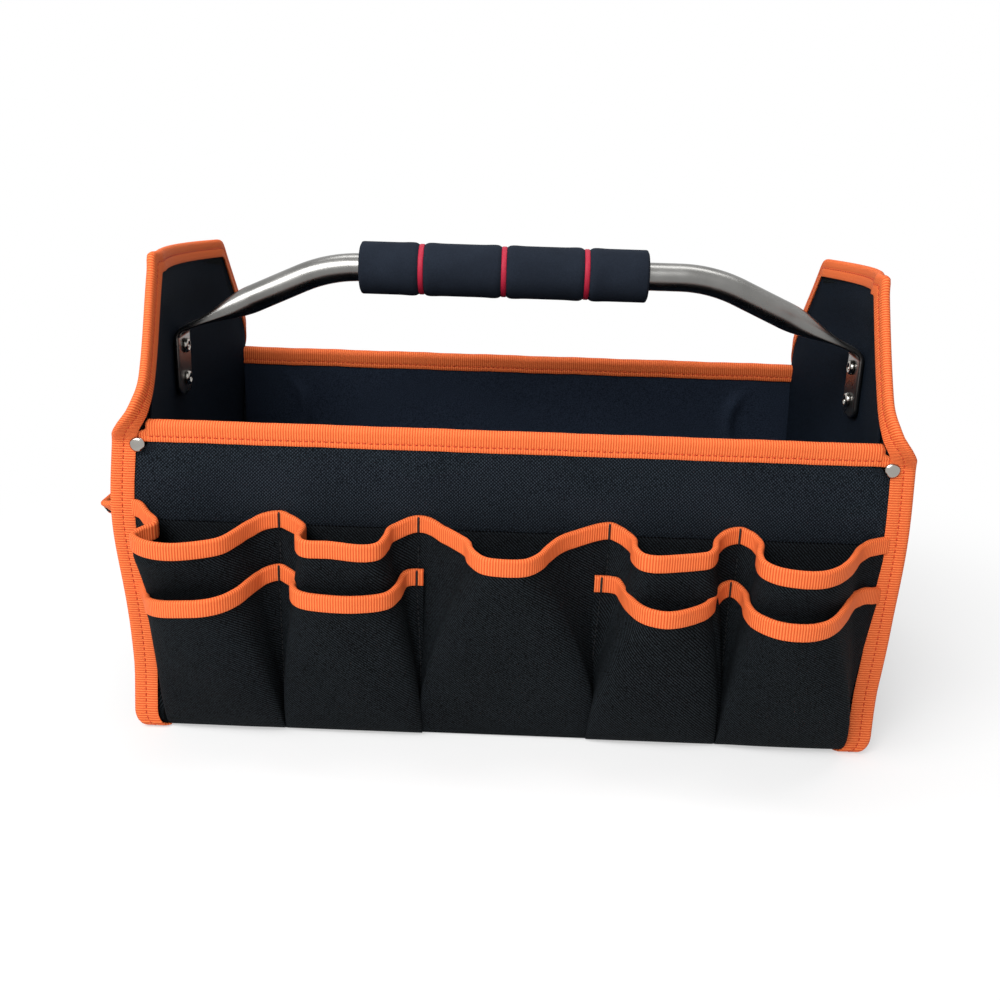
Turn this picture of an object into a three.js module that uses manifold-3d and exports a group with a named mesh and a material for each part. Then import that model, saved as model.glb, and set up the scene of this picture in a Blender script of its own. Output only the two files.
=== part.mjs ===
// An open-top tool bag: stiffened cloth walls with tall ends, rows of pockets, folded tape on
// every edge, and a bent steel tube over the top that carries a sliding foam grip.
// Millimetres, +Z up, +X along the bag, the front faces -Y, and z = 0 is the floor.
import * as THREE from 'three';
import { mergeVertices } from 'three/addons/utils/BufferGeometryUtils.js';
import Module from 'manifold-3d';

const wasm = await Module();
wasm.setup();

// Layers of a wall, from the outside in, and the clearance between pieces that touch
const GAP = 0.3;
const CLOTH = 1.2;
const BOARD = 2;
const LINING = 0.8;
const STACK = CLOTH + GAP + BOARD + GAP + LINING;
const TAPE = 0.9;

// Steadies the offset at points whose faces are almost level with each other
const EASE = 0.02;

// Points closer than this are one point when pieces are cut or joined
const SAME_POINT = 1e-4;

// Front and back walls
const WALL_Y = 104;
const WALL_TOP = 172.6;
const BAND_BOTTOM = 120.5;
const TOP_TAPE_LEG = 12;

// Ends: the seam runs outwards as a flange, and above the walls it turns flat into a tall ear
const SEAM_X = 186.3;
const SEAM_Y = WALL_Y - CLOTH - GAP + STACK / 2 - CLOTH;
const END_BOTTOM = 1.8;
const CORNER_RADIUS = 10;
const FLANGE = 16.7;
const FLANGE_CLEARANCE = 1.2;
const FLANGE_START = END_BOTTOM + CORNER_RADIUS + FLANGE_CLEARANCE;
const EAR_START = 172;
const EAR_EDGE = 12;
const EAR_HALF = 58;
const EAR_SHOULDER = 234;
const EAR_SEAM_TOP = 240;
const EAR_RADIUS = 8;
const EAR_LEAN = 10;
const EAR_LEAN_TOP = 225;
const EAR_TURN_TOP = 216;
const END_BOW = 17.3;
const END_BOW_TOP = 150;
const EAR_TUCK = 4;
const EAR_TUCK_START = 208;
const END_TAPE_LEG = 13;
const END_INSET = 1.6;
const EAR_UNDER_TAPE = 8;
const END_BOARD = 1.4;
const EAR_EASE = 0.5;
const TWIST_EASE = 0.7;
const END_ROWS = [85, 160, EAR_START, 179, 187, 197, 208, 220];
const END_COLUMNS = [1, 0.7, 0.15, -0.15, -0.7, -1];

// Pockets: each row of cloth is held flat at its dividers and stands out between them
const POCKET_CLOTH = 1;
const POCKET_BOTTOM = 1;
const POCKET_STANDOFF = GAP + TAPE + GAP;
const POCKET_END_X = 190.4;
const DIVIDERS = [49, 120];
const UPPER_MOUTH = 125.5;
const UPPER_BULGE = 32;
const UPPER_DIP = 7.5;
const MIDDLE_BULGE = 40.5;
const MIDDLE_DIP = 10;
const UPPER_BELLY = 0.75;
const LOWER_MOUTH = 96.5;
const LOWER_BULGE = 37.8;
const LOWER_DIP = 4.5;
const LOWER_BELLY = 0.6;
const POCKET_TAPE_LEG = 10;
const UPPER_LAND = 10;
const LOWER_LAND = 5.5;
const POCKET_RAMP = [[6.3, 0.55], [14, 0.92]];
const POCKET_LIP = 0.9;
const POCKET_ROWS = [0, 0.35, 0.7, POCKET_LIP, 1];

// One wide pocket on each end
const END_POCKET_HALF = 98;
const END_POCKET_FLAT_X = 192.2;
const END_POCKET_BULGE = 32;
const END_POCKET_DIP = 6;
const END_POCKET_BELLY = 0.7;
const END_POCKET_BOTTOM = 7;
const END_POCKET_STEPS = [[0, 0], [6, 0], [12, 0.5], [20, 0.88], [38, 1], [68, 1]];

// Corner rivets at the top of each seam
const RIVET_X = 193.2;
const RIVET_Z = 161.6;
const RIVET_CAP = 4.8;
const RIVET_SHANK = 1.4;
const RIVET_TAIL = 1.8;
const RIVET_TAIL_THICK = 0.8;
const RIVET_DOME = 1.9;
const RIVET_SIDES = 10;
const SHANK_SIDES = 12;
const RIVET_DRILL = 12;

// Handle: a round tube with flattened ends riveted inside the ears
const TUBE_RADIUS = 8;
const TUBE_SIDES = 16;
const TUBE_TOP = 242.4;
const TUBE_STRAIGHT = 92.2;
const TUBE_SLOPE = 24 * Math.PI / 180;
const TUBE_BEND = 85;
const TAB_X = 198.9;
const TAB_BOTTOM = 165;
const TAB_HALF_WIDTH = 12.3;
const TAB_HALF_THICK = 1.6;
const TAB_BEND = 6;
const TAPER = 44;
const TAPER_FLAT = 0.9;
const TAB_POWER = 5;
const TAB_END_STEPS = [0.6, 0.25, 0];
const TAB_END_CUT = 0.75;
const BEND_STEPS = 5;
const TAB_BEND_STEPS = 3;
const HANDLE_RIVETS = { upper: 193.5, lower: 174 };
const HANDLE_SHANK = 2.1;
const HANDLE_HEAD = 4.4;
const HANDLE_DOME = 2.4;
const HANDLE_FOOT = 5.4;
const HANDLE_DRILL = 40;
const HANDLE_FOOT_THICK = 1.2;

// Grip: foam with three narrow rings let into it, pushed against the left bend
const GRIP_LENGTH = 165.5;
const GRIP_RADIUS = 15.3;
const GRIP_CLEARANCE = 0.45;
const GRIP_STOP = 0.2;
const GRIP_BORE = TUBE_RADIUS + GRIP_CLEARANCE;
const GRIP_X = GRIP_LENGTH / 2 - TUBE_STRAIGHT + GRIP_STOP;
const GRIP_EDGE = 2;
const RING_PITCH = 47.4;
const RING_WIDTH = 3;
const RING_DEPTH = 1.4;
const GRIP_SIDES = 20;

const INK = { colour: '#26282b', roughness: 0.9, metalness: 0 };
const BLUE_GREY = { colour: '#3a4250', roughness: 0.9, metalness: 0 };
const NAVY = { colour: '#1f232b', roughness: 0.85, metalness: 0 };
const ORANGE = { colour: '#e4581f', roughness: 0.75, metalness: 0 };
const BOARD_GREY = { colour: '#55585c', roughness: 0.6, metalness: 0 };
const STEEL = { colour: '#a9a6a2', roughness: 0.2, metalness: 1 };
const NICKEL = { colour: '#c9c7c2', roughness: 0.25, metalness: 1 };
const FOAM = { colour: '#2b2e36', roughness: 0.95, metalness: 0 };
const CRIMSON = { colour: '#b3202f', roughness: 0.8, metalness: 0 };

const bag = new THREE.Group();

function addMesh(name, geometry, look, parent = bag) {
  const material = new THREE.MeshStandardMaterial({
    color: look.colour,
    roughness: look.roughness,
    metalness: look.metalness,
  });
  const mesh = new THREE.Mesh(geometry, material);
  mesh.name = name;
  parent.add(mesh);
  return mesh;
}

// Geometry from points and triangles, turned so that its faces point out
function closedGeometry(points, triangles) {
  let volume = 0;
  for (const [a, b, c] of triangles) {
    volume += points[a].dot(points[b].clone().cross(points[c]));
  }
  const index = triangles.flatMap(([a, b, c]) => (volume > 0 ? [a, b, c] : [a, c, b]));
  const geometry = new THREE.BufferGeometry();
  geometry.setFromPoints(points);
  geometry.setIndex(index);
  return geometry;
}

function gridFaces(rows, columns) {
  const faces = [];
  for (let r = 0; r + 1 < rows; r += 1) {
    for (let c = 0; c + 1 < columns; c += 1) {
      const k = r * columns + c;
      faces.push([k, k + 1, k + 1 + columns, k + columns]);
    }
  }
  return faces;
}

// For each point, the vector that moves it to a surface one millimetre away from every face
// that meets there: the least squares answer, so that a sharp bend keeps its mitre
function offsetVectors(points, faces) {
  const normals = points.map(() => []);
  for (const face of faces) {
    const [a, b, c, d] = face.map((k) => points[k]);
    const across = c.clone().sub(a);
    const normal = across.cross(d.clone().sub(b)).normalize();
    face.forEach((k) => normals[k].push(normal));
  }
  return normals.map((around) => {
    const sum = new THREE.Vector3();
    const square = [EASE, 0, 0, 0, EASE, 0, 0, 0, EASE];
    around.forEach((normal) => {
      sum.add(normal);
      const n = normal.toArray();
      square.forEach((_, k) => {
        square[k] += n[Math.floor(k / 3)] * n[k % 3];
      });
    });
    return sum.applyMatrix3(new THREE.Matrix3(...square).invert());
  });
}

// The solid between two offsets of a surface made of four-sided faces
function thicken(points, faces, low, high) {
  const offsets = offsetVectors(points, faces);
  const move = (distance) => points.map((p, k) => p.clone().addScaledVector(offsets[k], distance));
  const count = points.length;
  const triangles = [];
  const rim = new Map();
  for (const face of faces) {
    const [a, b, c, d] = face;
    triangles.push([a + count, b + count, c + count], [a + count, c + count, d + count]);
    triangles.push([a, c, b], [a, d, c]);
    face.forEach((from, k) => {
      const to = face[(k + 1) % face.length];
      if (!rim.delete(`${to} ${from}`)) {
        rim.set(`${from} ${to}`, [from, to]);
      }
    });
  }
  for (const [from, to] of rim.values()) {
    triangles.push([from, to, to + count], [from, to + count, from + count]);
  }
  return closedGeometry([...move(low), ...move(high)], triangles);
}

// A solid swept through stations, each with its own section of [along, across] pairs
function sweep(stations, isLoop) {
  const size = stations[0].section.length;
  const points = stations.flatMap(({ at, along, across, section }) => section.map(([a, b]) => (
    at.clone().addScaledVector(along, a).addScaledVector(across, b))));
  const triangles = [];
  const spans = isLoop ? stations.length : stations.length - 1;
  for (let k = 0; k < spans; k += 1) {
    const here = k * size;
    const next = ((k + 1) % stations.length) * size;
    for (let j = 0; j < size; j += 1) {
      const m = (j + 1) % size;
      triangles.push([here + j, next + j, next + m], [here + j, next + m, here + m]);
    }
  }
  if (!isLoop) {
    const outline = stations[0].section.map(([a, b]) => new THREE.Vector2(a, b));
    const last = (stations.length - 1) * size;
    const isTurned = THREE.ShapeUtils.isClockWise(outline);
    for (const [a, b, c] of THREE.ShapeUtils.triangulateShape(outline, [])) {
      triangles.push(isTurned ? [a, c, b] : [a, b, c]);
      triangles.push(isTurned ? [last + a, last + b, last + c] : [last + a, last + c, last + b]);
    }
  }
  return closedGeometry(points, triangles);
}

// The section of a tape folded over an edge: both legs reach back over the cloth
function foldedTape(leg, half, shift = 0) {
  const fold = GAP + TAPE;
  const back = fold - leg;
  const outer = half + GAP + TAPE;
  const inner = half + GAP;
  return [
    [back, shift + outer], [fold, shift + outer], [fold, shift - outer], [back, shift - outer],
    [back, shift - inner], [GAP, shift - inner], [GAP, shift + inner], [back, shift + inner],
  ];
}

function slab(x, y, z) {
  const geometry = new THREE.BoxGeometry(x[1] - x[0], y[1] - y[0], z[1] - z[0]);
  geometry.translate((x[0] + x[1]) / 2, (y[0] + y[1]) / 2, (z[0] + z[1]) / 2);
  return geometry;
}

function toManifold(geometry) {
  const bare = geometry.clone();
  bare.deleteAttribute('normal');
  bare.deleteAttribute('uv');
  const merged = mergeVertices(bare, SAME_POINT);
  return new wasm.Manifold(new wasm.Mesh({
    numProp: 3,
    vertProperties: new Float32Array(merged.attributes.position.array),
    triVerts: new Uint32Array(merged.index.array),
  }));
}

function fromManifold(solid) {
  const mesh = solid.getMesh();
  const geometry = new THREE.BufferGeometry();
  geometry.setAttribute('position', new THREE.BufferAttribute(mesh.vertProperties, 3));
  geometry.setIndex(new THREE.BufferAttribute(mesh.triVerts, 1));
  return geometry;
}

function drill(geometry, cutters) {
  let solid = toManifold(geometry);
  for (const cutter of cutters) {
    solid = solid.subtract(toManifold(cutter));
  }
  return fromManifold(solid);
}

function join(first, second) {
  return fromManifold(toManifold(first).add(toManifold(second)));
}

function mirrored(geometry) {
  const copy = geometry.clone();
  copy.scale(-1, 1, 1);
  const { array } = copy.index;
  for (let k = 0; k < array.length; k += 3) {
    [array[k + 1], array[k + 2]] = [array[k + 2], array[k + 1]];
  }
  return copy;
}

// A round cutter or shank along X or Y
function rod(radius, length, axis, centre) {
  const geometry = new THREE.CylinderGeometry(radius, radius, length, SHANK_SIDES);
  if (axis === 'x') {
    geometry.rotateZ(Math.PI / 2);
  }
  geometry.translate(...centre);
  return geometry;
}

// A rivet turned from a profile of [radius, distance] pairs, pointing along its axis
function turned(profile, sides) {
  const points = profile.map(([radius, distance]) => new THREE.Vector2(radius, distance));
  return new THREE.LatheGeometry(points, sides);
}

// Front wall layers, standing on the floor between the two flanges
const clothBack = WALL_Y - CLOTH;
const boardFront = clothBack - GAP;
const boardBack = boardFront - BOARD;
const liningFront = boardBack - GAP;
const liningBack = liningFront - LINING;
const innerX = SEAM_X - STACK / 2 - 1.5 * GAP;
const flangeX = SEAM_X + FLANGE;
const clothTop = WALL_TOP - TAPE - GAP;

function cornerRivetHole(sign) {
  return rod(RIVET_SHANK + GAP, RIVET_DRILL, 'y', [sign * RIVET_X, -SEAM_Y, RIVET_Z]);
}

function frontPanel() {
  const body = slab([-innerX, innerX], [-WALL_Y, -clothBack], [0, BAND_BOTTOM - GAP]);
  const wings = slab([-flangeX, flangeX], [-WALL_Y, -clothBack], [FLANGE_START, BAND_BOTTOM - GAP]);
  return join(body, wings);
}

function frontBand() {
  const band = slab([-flangeX, flangeX], [-WALL_Y, -clothBack], [BAND_BOTTOM, clothTop]);
  return drill(band, [cornerRivetHole(-1), cornerRivetHole(1)]);
}

// The top tape's front leg runs on to the side tape, past the fold between the ends
function topTape() {
  const middle = -(WALL_Y - STACK / 2);
  const station = (x) => ({
    at: new THREE.Vector3(x, middle, clothTop),
    along: new THREE.Vector3(0, 0, 1),
    across: new THREE.Vector3(0, 1, 0),
    section: foldedTape(TOP_TAPE_LEG, STACK / 2),
  });
  const fold = sweep([station(-innerX), station(innerX)], false);
  const reach = flangeX + GAP + TAPE - END_TAPE_LEG - GAP;
  const face = -WALL_Y - GAP;
  const leg = slab([-reach, reach], [face - TAPE, face], [WALL_TOP - TOP_TAPE_LEG, WALL_TOP]);
  return join(fold, leg);
}

function addWall(side) {
  const wall = new THREE.Group();
  wall.rotation.z = side === 'back' ? Math.PI : 0;
  bag.add(wall);
  const boardBottom = CLOTH + GAP;
  const liningBottom = boardBottom + BOARD + GAP;
  const board = slab([-innerX, innerX], [-boardFront, -boardBack], [boardBottom, clothTop]);
  const lining = slab([-innerX, innerX], [-liningFront, -liningBack], [liningBottom, clothTop]);
  addMesh(`${side}_panel`, frontPanel(), INK, wall);
  addMesh(`${side}_band`, frontBand(), BLUE_GREY, wall);
  addMesh(`${side}_board`, board, BOARD_GREY, wall);
  addMesh(`${side}_lining`, lining, NAVY, wall);
  addMesh(`${side}_top_tape`, topTape(), ORANGE, wall);
  return wall;
}

const walls = { front: addWall('front'), back: addWall('back') };

// Base layers, inside the front and back cloth
function addBase() {
  const boardBottom = CLOTH + GAP;
  const liningBottom = boardBottom + BOARD + GAP;
  const boardY = liningFront;
  const liningY = liningBack - GAP;
  const clothX = flangeX + GAP + TAPE - END_TAPE_LEG - 2 * GAP;
  addMesh('base_panel', slab([-clothX, clothX], [-boardFront, boardFront], [0, CLOTH]), INK);
  addMesh('base_board', slab([-innerX, innerX], [-boardY, boardY],
    [boardBottom, boardBottom + BOARD]), BOARD_GREY);
  addMesh('base_lining', slab([-innerX, innerX], [-liningY, liningY],
    [liningBottom, liningBottom + LINING]), NAVY);
}

addBase();

// The end panel's seam line: half its width at a height
function endHalf(z) {
  const below = CORNER_RADIUS - (z - END_BOTTOM);
  if (below > 0) {
    return SEAM_Y - CORNER_RADIUS + Math.sqrt(CORNER_RADIUS ** 2 - below ** 2);
  }
  const rise = THREE.MathUtils.clamp((z - EAR_START) / (EAR_SHOULDER - EAR_START), 0, 1);
  const half = SEAM_Y - (SEAM_Y - EAR_HALF) * Math.sin(rise * Math.PI / 2);
  const above = Math.max(0, z - (EAR_SEAM_TOP - EAR_RADIUS));
  return half - EAR_RADIUS + Math.sqrt(EAR_RADIUS ** 2 - above ** 2);
}

// How far out the middle of the end panel's layers stands: it bows between its seams
function endX(share, z) {
  const edge = SEAM_X + EAR_LEAN * THREE.MathUtils.smoothstep(z, EAR_START, EAR_LEAN_TOP);
  const bow = END_BOW * THREE.MathUtils.smoothstep(z, 0, END_BOW_TOP);
  const tuck = EAR_TUCK * THREE.MathUtils.smoothstep(z, EAR_TUCK_START, EAR_SEAM_TOP);
  const middle = SEAM_X + bow - tuck;
  return edge + (middle - edge) * (1 - share ** 2);
}

// How far the seam has turned from pointing outwards, 0, to lying in the ear, 1
function endTurn(z) {
  return THREE.MathUtils.smoothstep(z, EAR_START, EAR_TURN_TOP);
}

const cornerRise = CORNER_RADIUS * (1 - Math.SQRT1_2);
const earCorner = EAR_SEAM_TOP - EAR_RADIUS;
const endRows = [
  END_BOTTOM, END_BOTTOM + cornerRise, END_BOTTOM + CORNER_RADIUS,
  ...END_ROWS,
  earCorner, earCorner + EAR_RADIUS * Math.SQRT1_2, EAR_SEAM_TOP,
];

function endGrid() {
  return endRows.flatMap((z) => END_COLUMNS.map((share) => (
    new THREE.Vector3(-endX(share, z), share * endHalf(z), z))));
}

// Indices round the border of the grid: along the bottom, up the front, over the top, down the back
function endBorder() {
  const columns = END_COLUMNS.length;
  const rows = endRows.length;
  const bottom = END_COLUMNS.map((_, c) => c);
  const front = endRows.slice(1).map((_, r) => (r + 1) * columns + columns - 1);
  const top = END_COLUMNS.slice(1).map((_, c) => rows * columns - 2 - c);
  const back = endRows.slice(2).map((_, r) => (rows - 2 - r) * columns);
  return [...bottom, ...front, ...top, ...back];
}

// At each border point, the direction out of the panel, along its own surface
function borderDirections(points, faces, border) {
  const normals = offsetVectors(points, faces);
  return border.map((k, i) => {
    const before = points[border[(i + border.length - 1) % border.length]];
    const after = points[border[(i + 1) % border.length]];
    const out = new THREE.Vector3(0, before.z - after.z, after.y - before.y);
    return out.projectOnPlane(normals[k]).normalize();
  });
}

const endPoints = endGrid();
const endFaces = gridFaces(endRows.length, END_COLUMNS.length);
const endLoop = endBorder();
const endOut = borderDirections(endPoints, endFaces, endLoop);

// The outer cloth of an end turns into the seam flange all round
function endCloth() {
  const points = [...endPoints];
  const faces = [...endFaces];
  const outward = endLoop.map((k, i) => {
    const turn = endTurn(endPoints[k].z) * Math.PI / 2;
    const away = new THREE.Vector3(-Math.cos(turn), 0, 0);
    return away.addScaledVector(endOut[i], Math.sin(turn));
  });
  const first = points.length;
  endLoop.forEach((k, i) => {
    const width = THREE.MathUtils.lerp(FLANGE, EAR_EDGE, endTurn(endPoints[k].z));
    points.push(endPoints[k].clone().addScaledVector(outward[i], width));
  });
  endLoop.forEach((k, i) => {
    const j = (i + 1) % endLoop.length;
    faces.push([endLoop[j], k, first + i, first + j]);
  });
  return { points, faces, outward, first };
}

// The board and lining stop inside the seam, and reach under the tape on the ear
function endLayer(low, high) {
  const points = endPoints.map((p) => p.clone());
  endLoop.forEach((k, i) => {
    const isEar = endTurn(endPoints[k].z) === 1;
    points[k].addScaledVector(endOut[i], isEar ? EAR_UNDER_TAPE : -END_INSET);
  });
  return thicken(points, endFaces, low, high);
}

function endTape(cloth) {
  const offsets = offsetVectors(cloth.points, cloth.faces);
  const flangeStack = CLOTH + GAP + CLOTH;
  const flangeShift = STACK / 2 - flangeStack / 2;
  return sweep(endLoop.map((k, i) => {
    const turn = endTurn(endPoints[k].z);
    const ease = TWIST_EASE * Math.sin(turn * Math.PI);
    const half = THREE.MathUtils.lerp(flangeStack / 2, STACK / 2 + EAR_EASE, turn) + ease;
    return {
      at: cloth.points[cloth.first + i],
      along: cloth.outward[i],
      across: offsets[cloth.first + i],
      section: foldedTape(END_TAPE_LEG, half, flangeShift * (1 - turn)),
    };
  }), true);
}

function addEnds() {
  const clothLow = STACK / 2 - CLOTH;
  const liningHigh = LINING - STACK / 2;
  const boardMiddle = (clothLow + liningHigh) / 2;
  const cloth = endCloth();
  const cornerHoles = [-1, 1].map((sign) => (
    rod(RIVET_SHANK + GAP, RIVET_DRILL, 'y', [-RIVET_X, sign * SEAM_Y, RIVET_Z])));
  const handleHoles = Object.values(HANDLE_RIVETS).map((z) => (
    rod(HANDLE_SHANK + GAP, HANDLE_DRILL, 'x', [-TAB_X, 0, z])));
  const panel = drill(thicken(cloth.points, cloth.faces, clothLow, STACK / 2),
    [...cornerHoles, ...handleHoles]);
  const board = drill(endLayer(boardMiddle - END_BOARD / 2, boardMiddle + END_BOARD / 2), handleHoles);
  const lining = drill(endLayer(-STACK / 2, liningHigh), handleHoles);
  const tape = drill(endTape(cloth), cornerHoles);
  const pieces = { panel: [panel, INK], board: [board, BOARD_GREY], lining: [lining, NAVY] };
  for (const [name, [geometry, look]] of Object.entries(pieces)) {
    addMesh(`left_end_${name}`, geometry, look);
    addMesh(`right_end_${name}`, mirrored(geometry), look);
  }
  addMesh('left_end_tape', tape, ORANGE);
  addMesh('right_end_tape', mirrored(tape), ORANGE);
}

addEnds();

// Places across one pocket, from divider to divider, and how far the cloth stands out there
function pocketColumns(start, end, land) {
  const ramp = POCKET_RAMP.map(([at, share]) => [land + at, share]);
  const steps = [[0, 0], [land, 0], ...ramp];
  const left = steps.map(([at, share]) => [start + at, share]);
  const right = steps.map(([at, share]) => [end - at, share]).reverse();
  return [...left, [(start + end) / 2, 1], ...right];
}

// How much of its bulge the cloth has at a share of its height: it stands upright above the lip
function bellyShare(rise, belly) {
  return Math.min(1, rise / POCKET_LIP) ** belly;
}

// A whole row of pockets as one surface, with the columns that each pocket takes from it
function pocketRow(pockets, { standoff, land, mouth, belly }) {
  const columns = [];
  const spans = [];
  pockets.forEach(({ start, end, bulge, dip }) => {
    const places = pocketColumns(start, end, land);
    const own = places.map(([x, share]) => ({ x, share, bulge, dip }));
    const from = Math.max(0, columns.length - 1);
    columns.push(...own.slice(columns.length ? 1 : 0));
    spans.push([from, columns.length - 1]);
  });
  const points = POCKET_ROWS.flatMap((rise) => columns.map(({ x, share, bulge, dip }) => {
    const top = mouth - dip * share;
    const out = WALL_Y + standoff + POCKET_CLOTH / 2 + bulge * share * bellyShare(rise, belly);
    return new THREE.Vector3(x, -out, POCKET_BOTTOM + (top - POCKET_BOTTOM) * rise);
  }));
  return { points, columns: columns.length, spans };
}

// One pocket's cloth, cut from its row just short of the dividers
function pocketCloth(row, [from, to]) {
  const width = to - from + 1;
  const points = POCKET_ROWS.flatMap((_, r) => {
    const line = row.points.slice(r * row.columns + from, r * row.columns + to + 1);
    const cut = line.map((p) => p.clone());
    cut[0].x += GAP / 2;
    cut[width - 1].x -= GAP / 2;
    return cut;
  });
  const faces = gridFaces(POCKET_ROWS.length, width);
  return thicken(points, faces, -POCKET_CLOTH / 2, POCKET_CLOTH / 2);
}

function mouthTape(points, columns) {
  const offsets = offsetVectors(points, gridFaces(POCKET_ROWS.length, columns));
  const top = (POCKET_ROWS.length - 1) * columns;
  return sweep(Array.from({ length: columns }, (_, c) => ({
    at: points[top + c],
    along: points[top + c].clone().sub(points[top + c - columns]).normalize(),
    across: offsets[top + c],
    section: foldedTape(POCKET_TAPE_LEG, POCKET_CLOTH / 2),
  })), false);
}

function upperPockets() {
  const [inner, outer] = DIVIDERS;
  const edges = [-POCKET_END_X, -outer, -inner, inner, outer, POCKET_END_X];
  return edges.slice(1).map((end, k) => {
    const isMiddle = k === 2;
    const bulge = isMiddle ? MIDDLE_BULGE : UPPER_BULGE;
    const dip = isMiddle ? MIDDLE_DIP : UPPER_DIP;
    return { start: edges[k], end, bulge, dip };
  });
}

function lowerPockets(sign) {
  const [inner, outer] = DIVIDERS;
  const edges = [inner, outer, POCKET_END_X].map((x) => sign * x).sort((a, b) => a - b);
  return edges.slice(1).map((end, k) => (
    { start: edges[k], end, bulge: LOWER_BULGE, dip: LOWER_DIP }));
}

function addPocketRow(wall, row, clothNames, tapeName) {
  row.spans.forEach((span, k) => {
    addMesh(clothNames[k], pocketCloth(row, span), INK, wall);
  });
  addMesh(tapeName, mouthTape(row.points, row.columns), ORANGE, wall);
}

function addPockets() {
  const upper = pocketRow(upperPockets(), {
    standoff: POCKET_STANDOFF, land: UPPER_LAND, mouth: UPPER_MOUTH, belly: UPPER_BELLY,
  });
  for (const [side, wall] of Object.entries(walls)) {
    const names = upper.spans.map((_, k) => `${side}_upper_pocket_${k + 1}`);
    addPocketRow(wall, upper, names, `${side}_upper_pocket_tape`);
  }
  const standoff = 2 * POCKET_STANDOFF + POCKET_CLOTH;
  for (const [side, sign] of [['left', -1], ['right', 1]]) {
    const lower = pocketRow(lowerPockets(sign), {
      standoff, land: LOWER_LAND, mouth: LOWER_MOUTH, belly: LOWER_BELLY,
    });
    const names = lower.spans.map((_, k) => `front_lower_pocket_${side}_${k + 1}`);
    addPocketRow(walls.front, lower, names, `front_lower_tape_${side}`);
  }
}

addPockets();

// The end pocket follows the end panel at its sides and stands out flat between them
function endPocketPoints() {
  const back = END_POCKET_STEPS.map(([at, share]) => [END_POCKET_HALF - at, share]);
  const front = END_POCKET_STEPS.map(([at, share]) => [at - END_POCKET_HALF, share]).reverse();
  const columns = [...back, ...front];
  const points = POCKET_ROWS.flatMap((rise) => columns.map(([y, share]) => {
    const top = UPPER_MOUTH - END_POCKET_DIP * share;
    const z = THREE.MathUtils.lerp(END_POCKET_BOTTOM, top, rise);
    const level = Math.min(z, UPPER_MOUTH * POCKET_LIP);
    const wall = endX(y / endHalf(level), level) + STACK / 2;
    const follow = wall + POCKET_STANDOFF + POCKET_CLOTH / 2;
    const flat = END_POCKET_FLAT_X + END_POCKET_BULGE * bellyShare(rise, END_POCKET_BELLY);
    return new THREE.Vector3(-THREE.MathUtils.lerp(follow, flat, share), y, z);
  }));
  return { points, columns: columns.length };
}

function addEndPockets() {
  const { points, columns } = endPocketPoints();
  const faces = gridFaces(POCKET_ROWS.length, columns);
  const cloth = thicken(points, faces, -POCKET_CLOTH / 2, POCKET_CLOTH / 2);
  const tape = mouthTape(points, columns);
  addMesh('left_end_pocket', cloth, INK);
  addMesh('right_end_pocket', mirrored(cloth), INK);
  addMesh('left_end_pocket_tape', tape, ORANGE);
  addMesh('right_end_pocket_tape', mirrored(tape), ORANGE);
}

addEndPockets();

// Points of a low dome on the axis, from its crown to its rim at distance 0
function domeProfile(radius, height) {
  return [0, 1, 2, 3].map((k) => {
    const turn = k * Math.PI / 6;
    return [radius * Math.sin(turn), -height * Math.cos(turn)];
  });
}

// A corner rivet: a dome in front, a shank through the flange and a small clenched tail
function cornerRivet() {
  const face = WALL_Y + GAP + TAPE + GAP;
  const depth = CLOTH + GAP + CLOTH + 2 * (GAP + TAPE + GAP);
  const tail = depth + RIVET_TAIL_THICK;
  const profile = [
    ...domeProfile(RIVET_CAP, RIVET_DOME), [RIVET_SHANK, 0], [RIVET_SHANK, depth],
    [RIVET_TAIL, depth], [RIVET_TAIL, tail], [0, tail],
  ];
  const geometry = turned(profile, RIVET_SIDES);
  geometry.translate(0, -face, 0);
  return geometry;
}

for (const [side, wall] of Object.entries(walls)) {
  for (const [hand, sign] of [['left', -1], ['right', 1]]) {
    const rivet = addMesh(`${side}_rivet_${hand}`, cornerRivet(), NICKEL, wall);
    const isTurned = side === 'back';
    rivet.position.set((isTurned ? -sign : sign) * RIVET_X, 0, RIVET_Z);
  }
}

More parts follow.
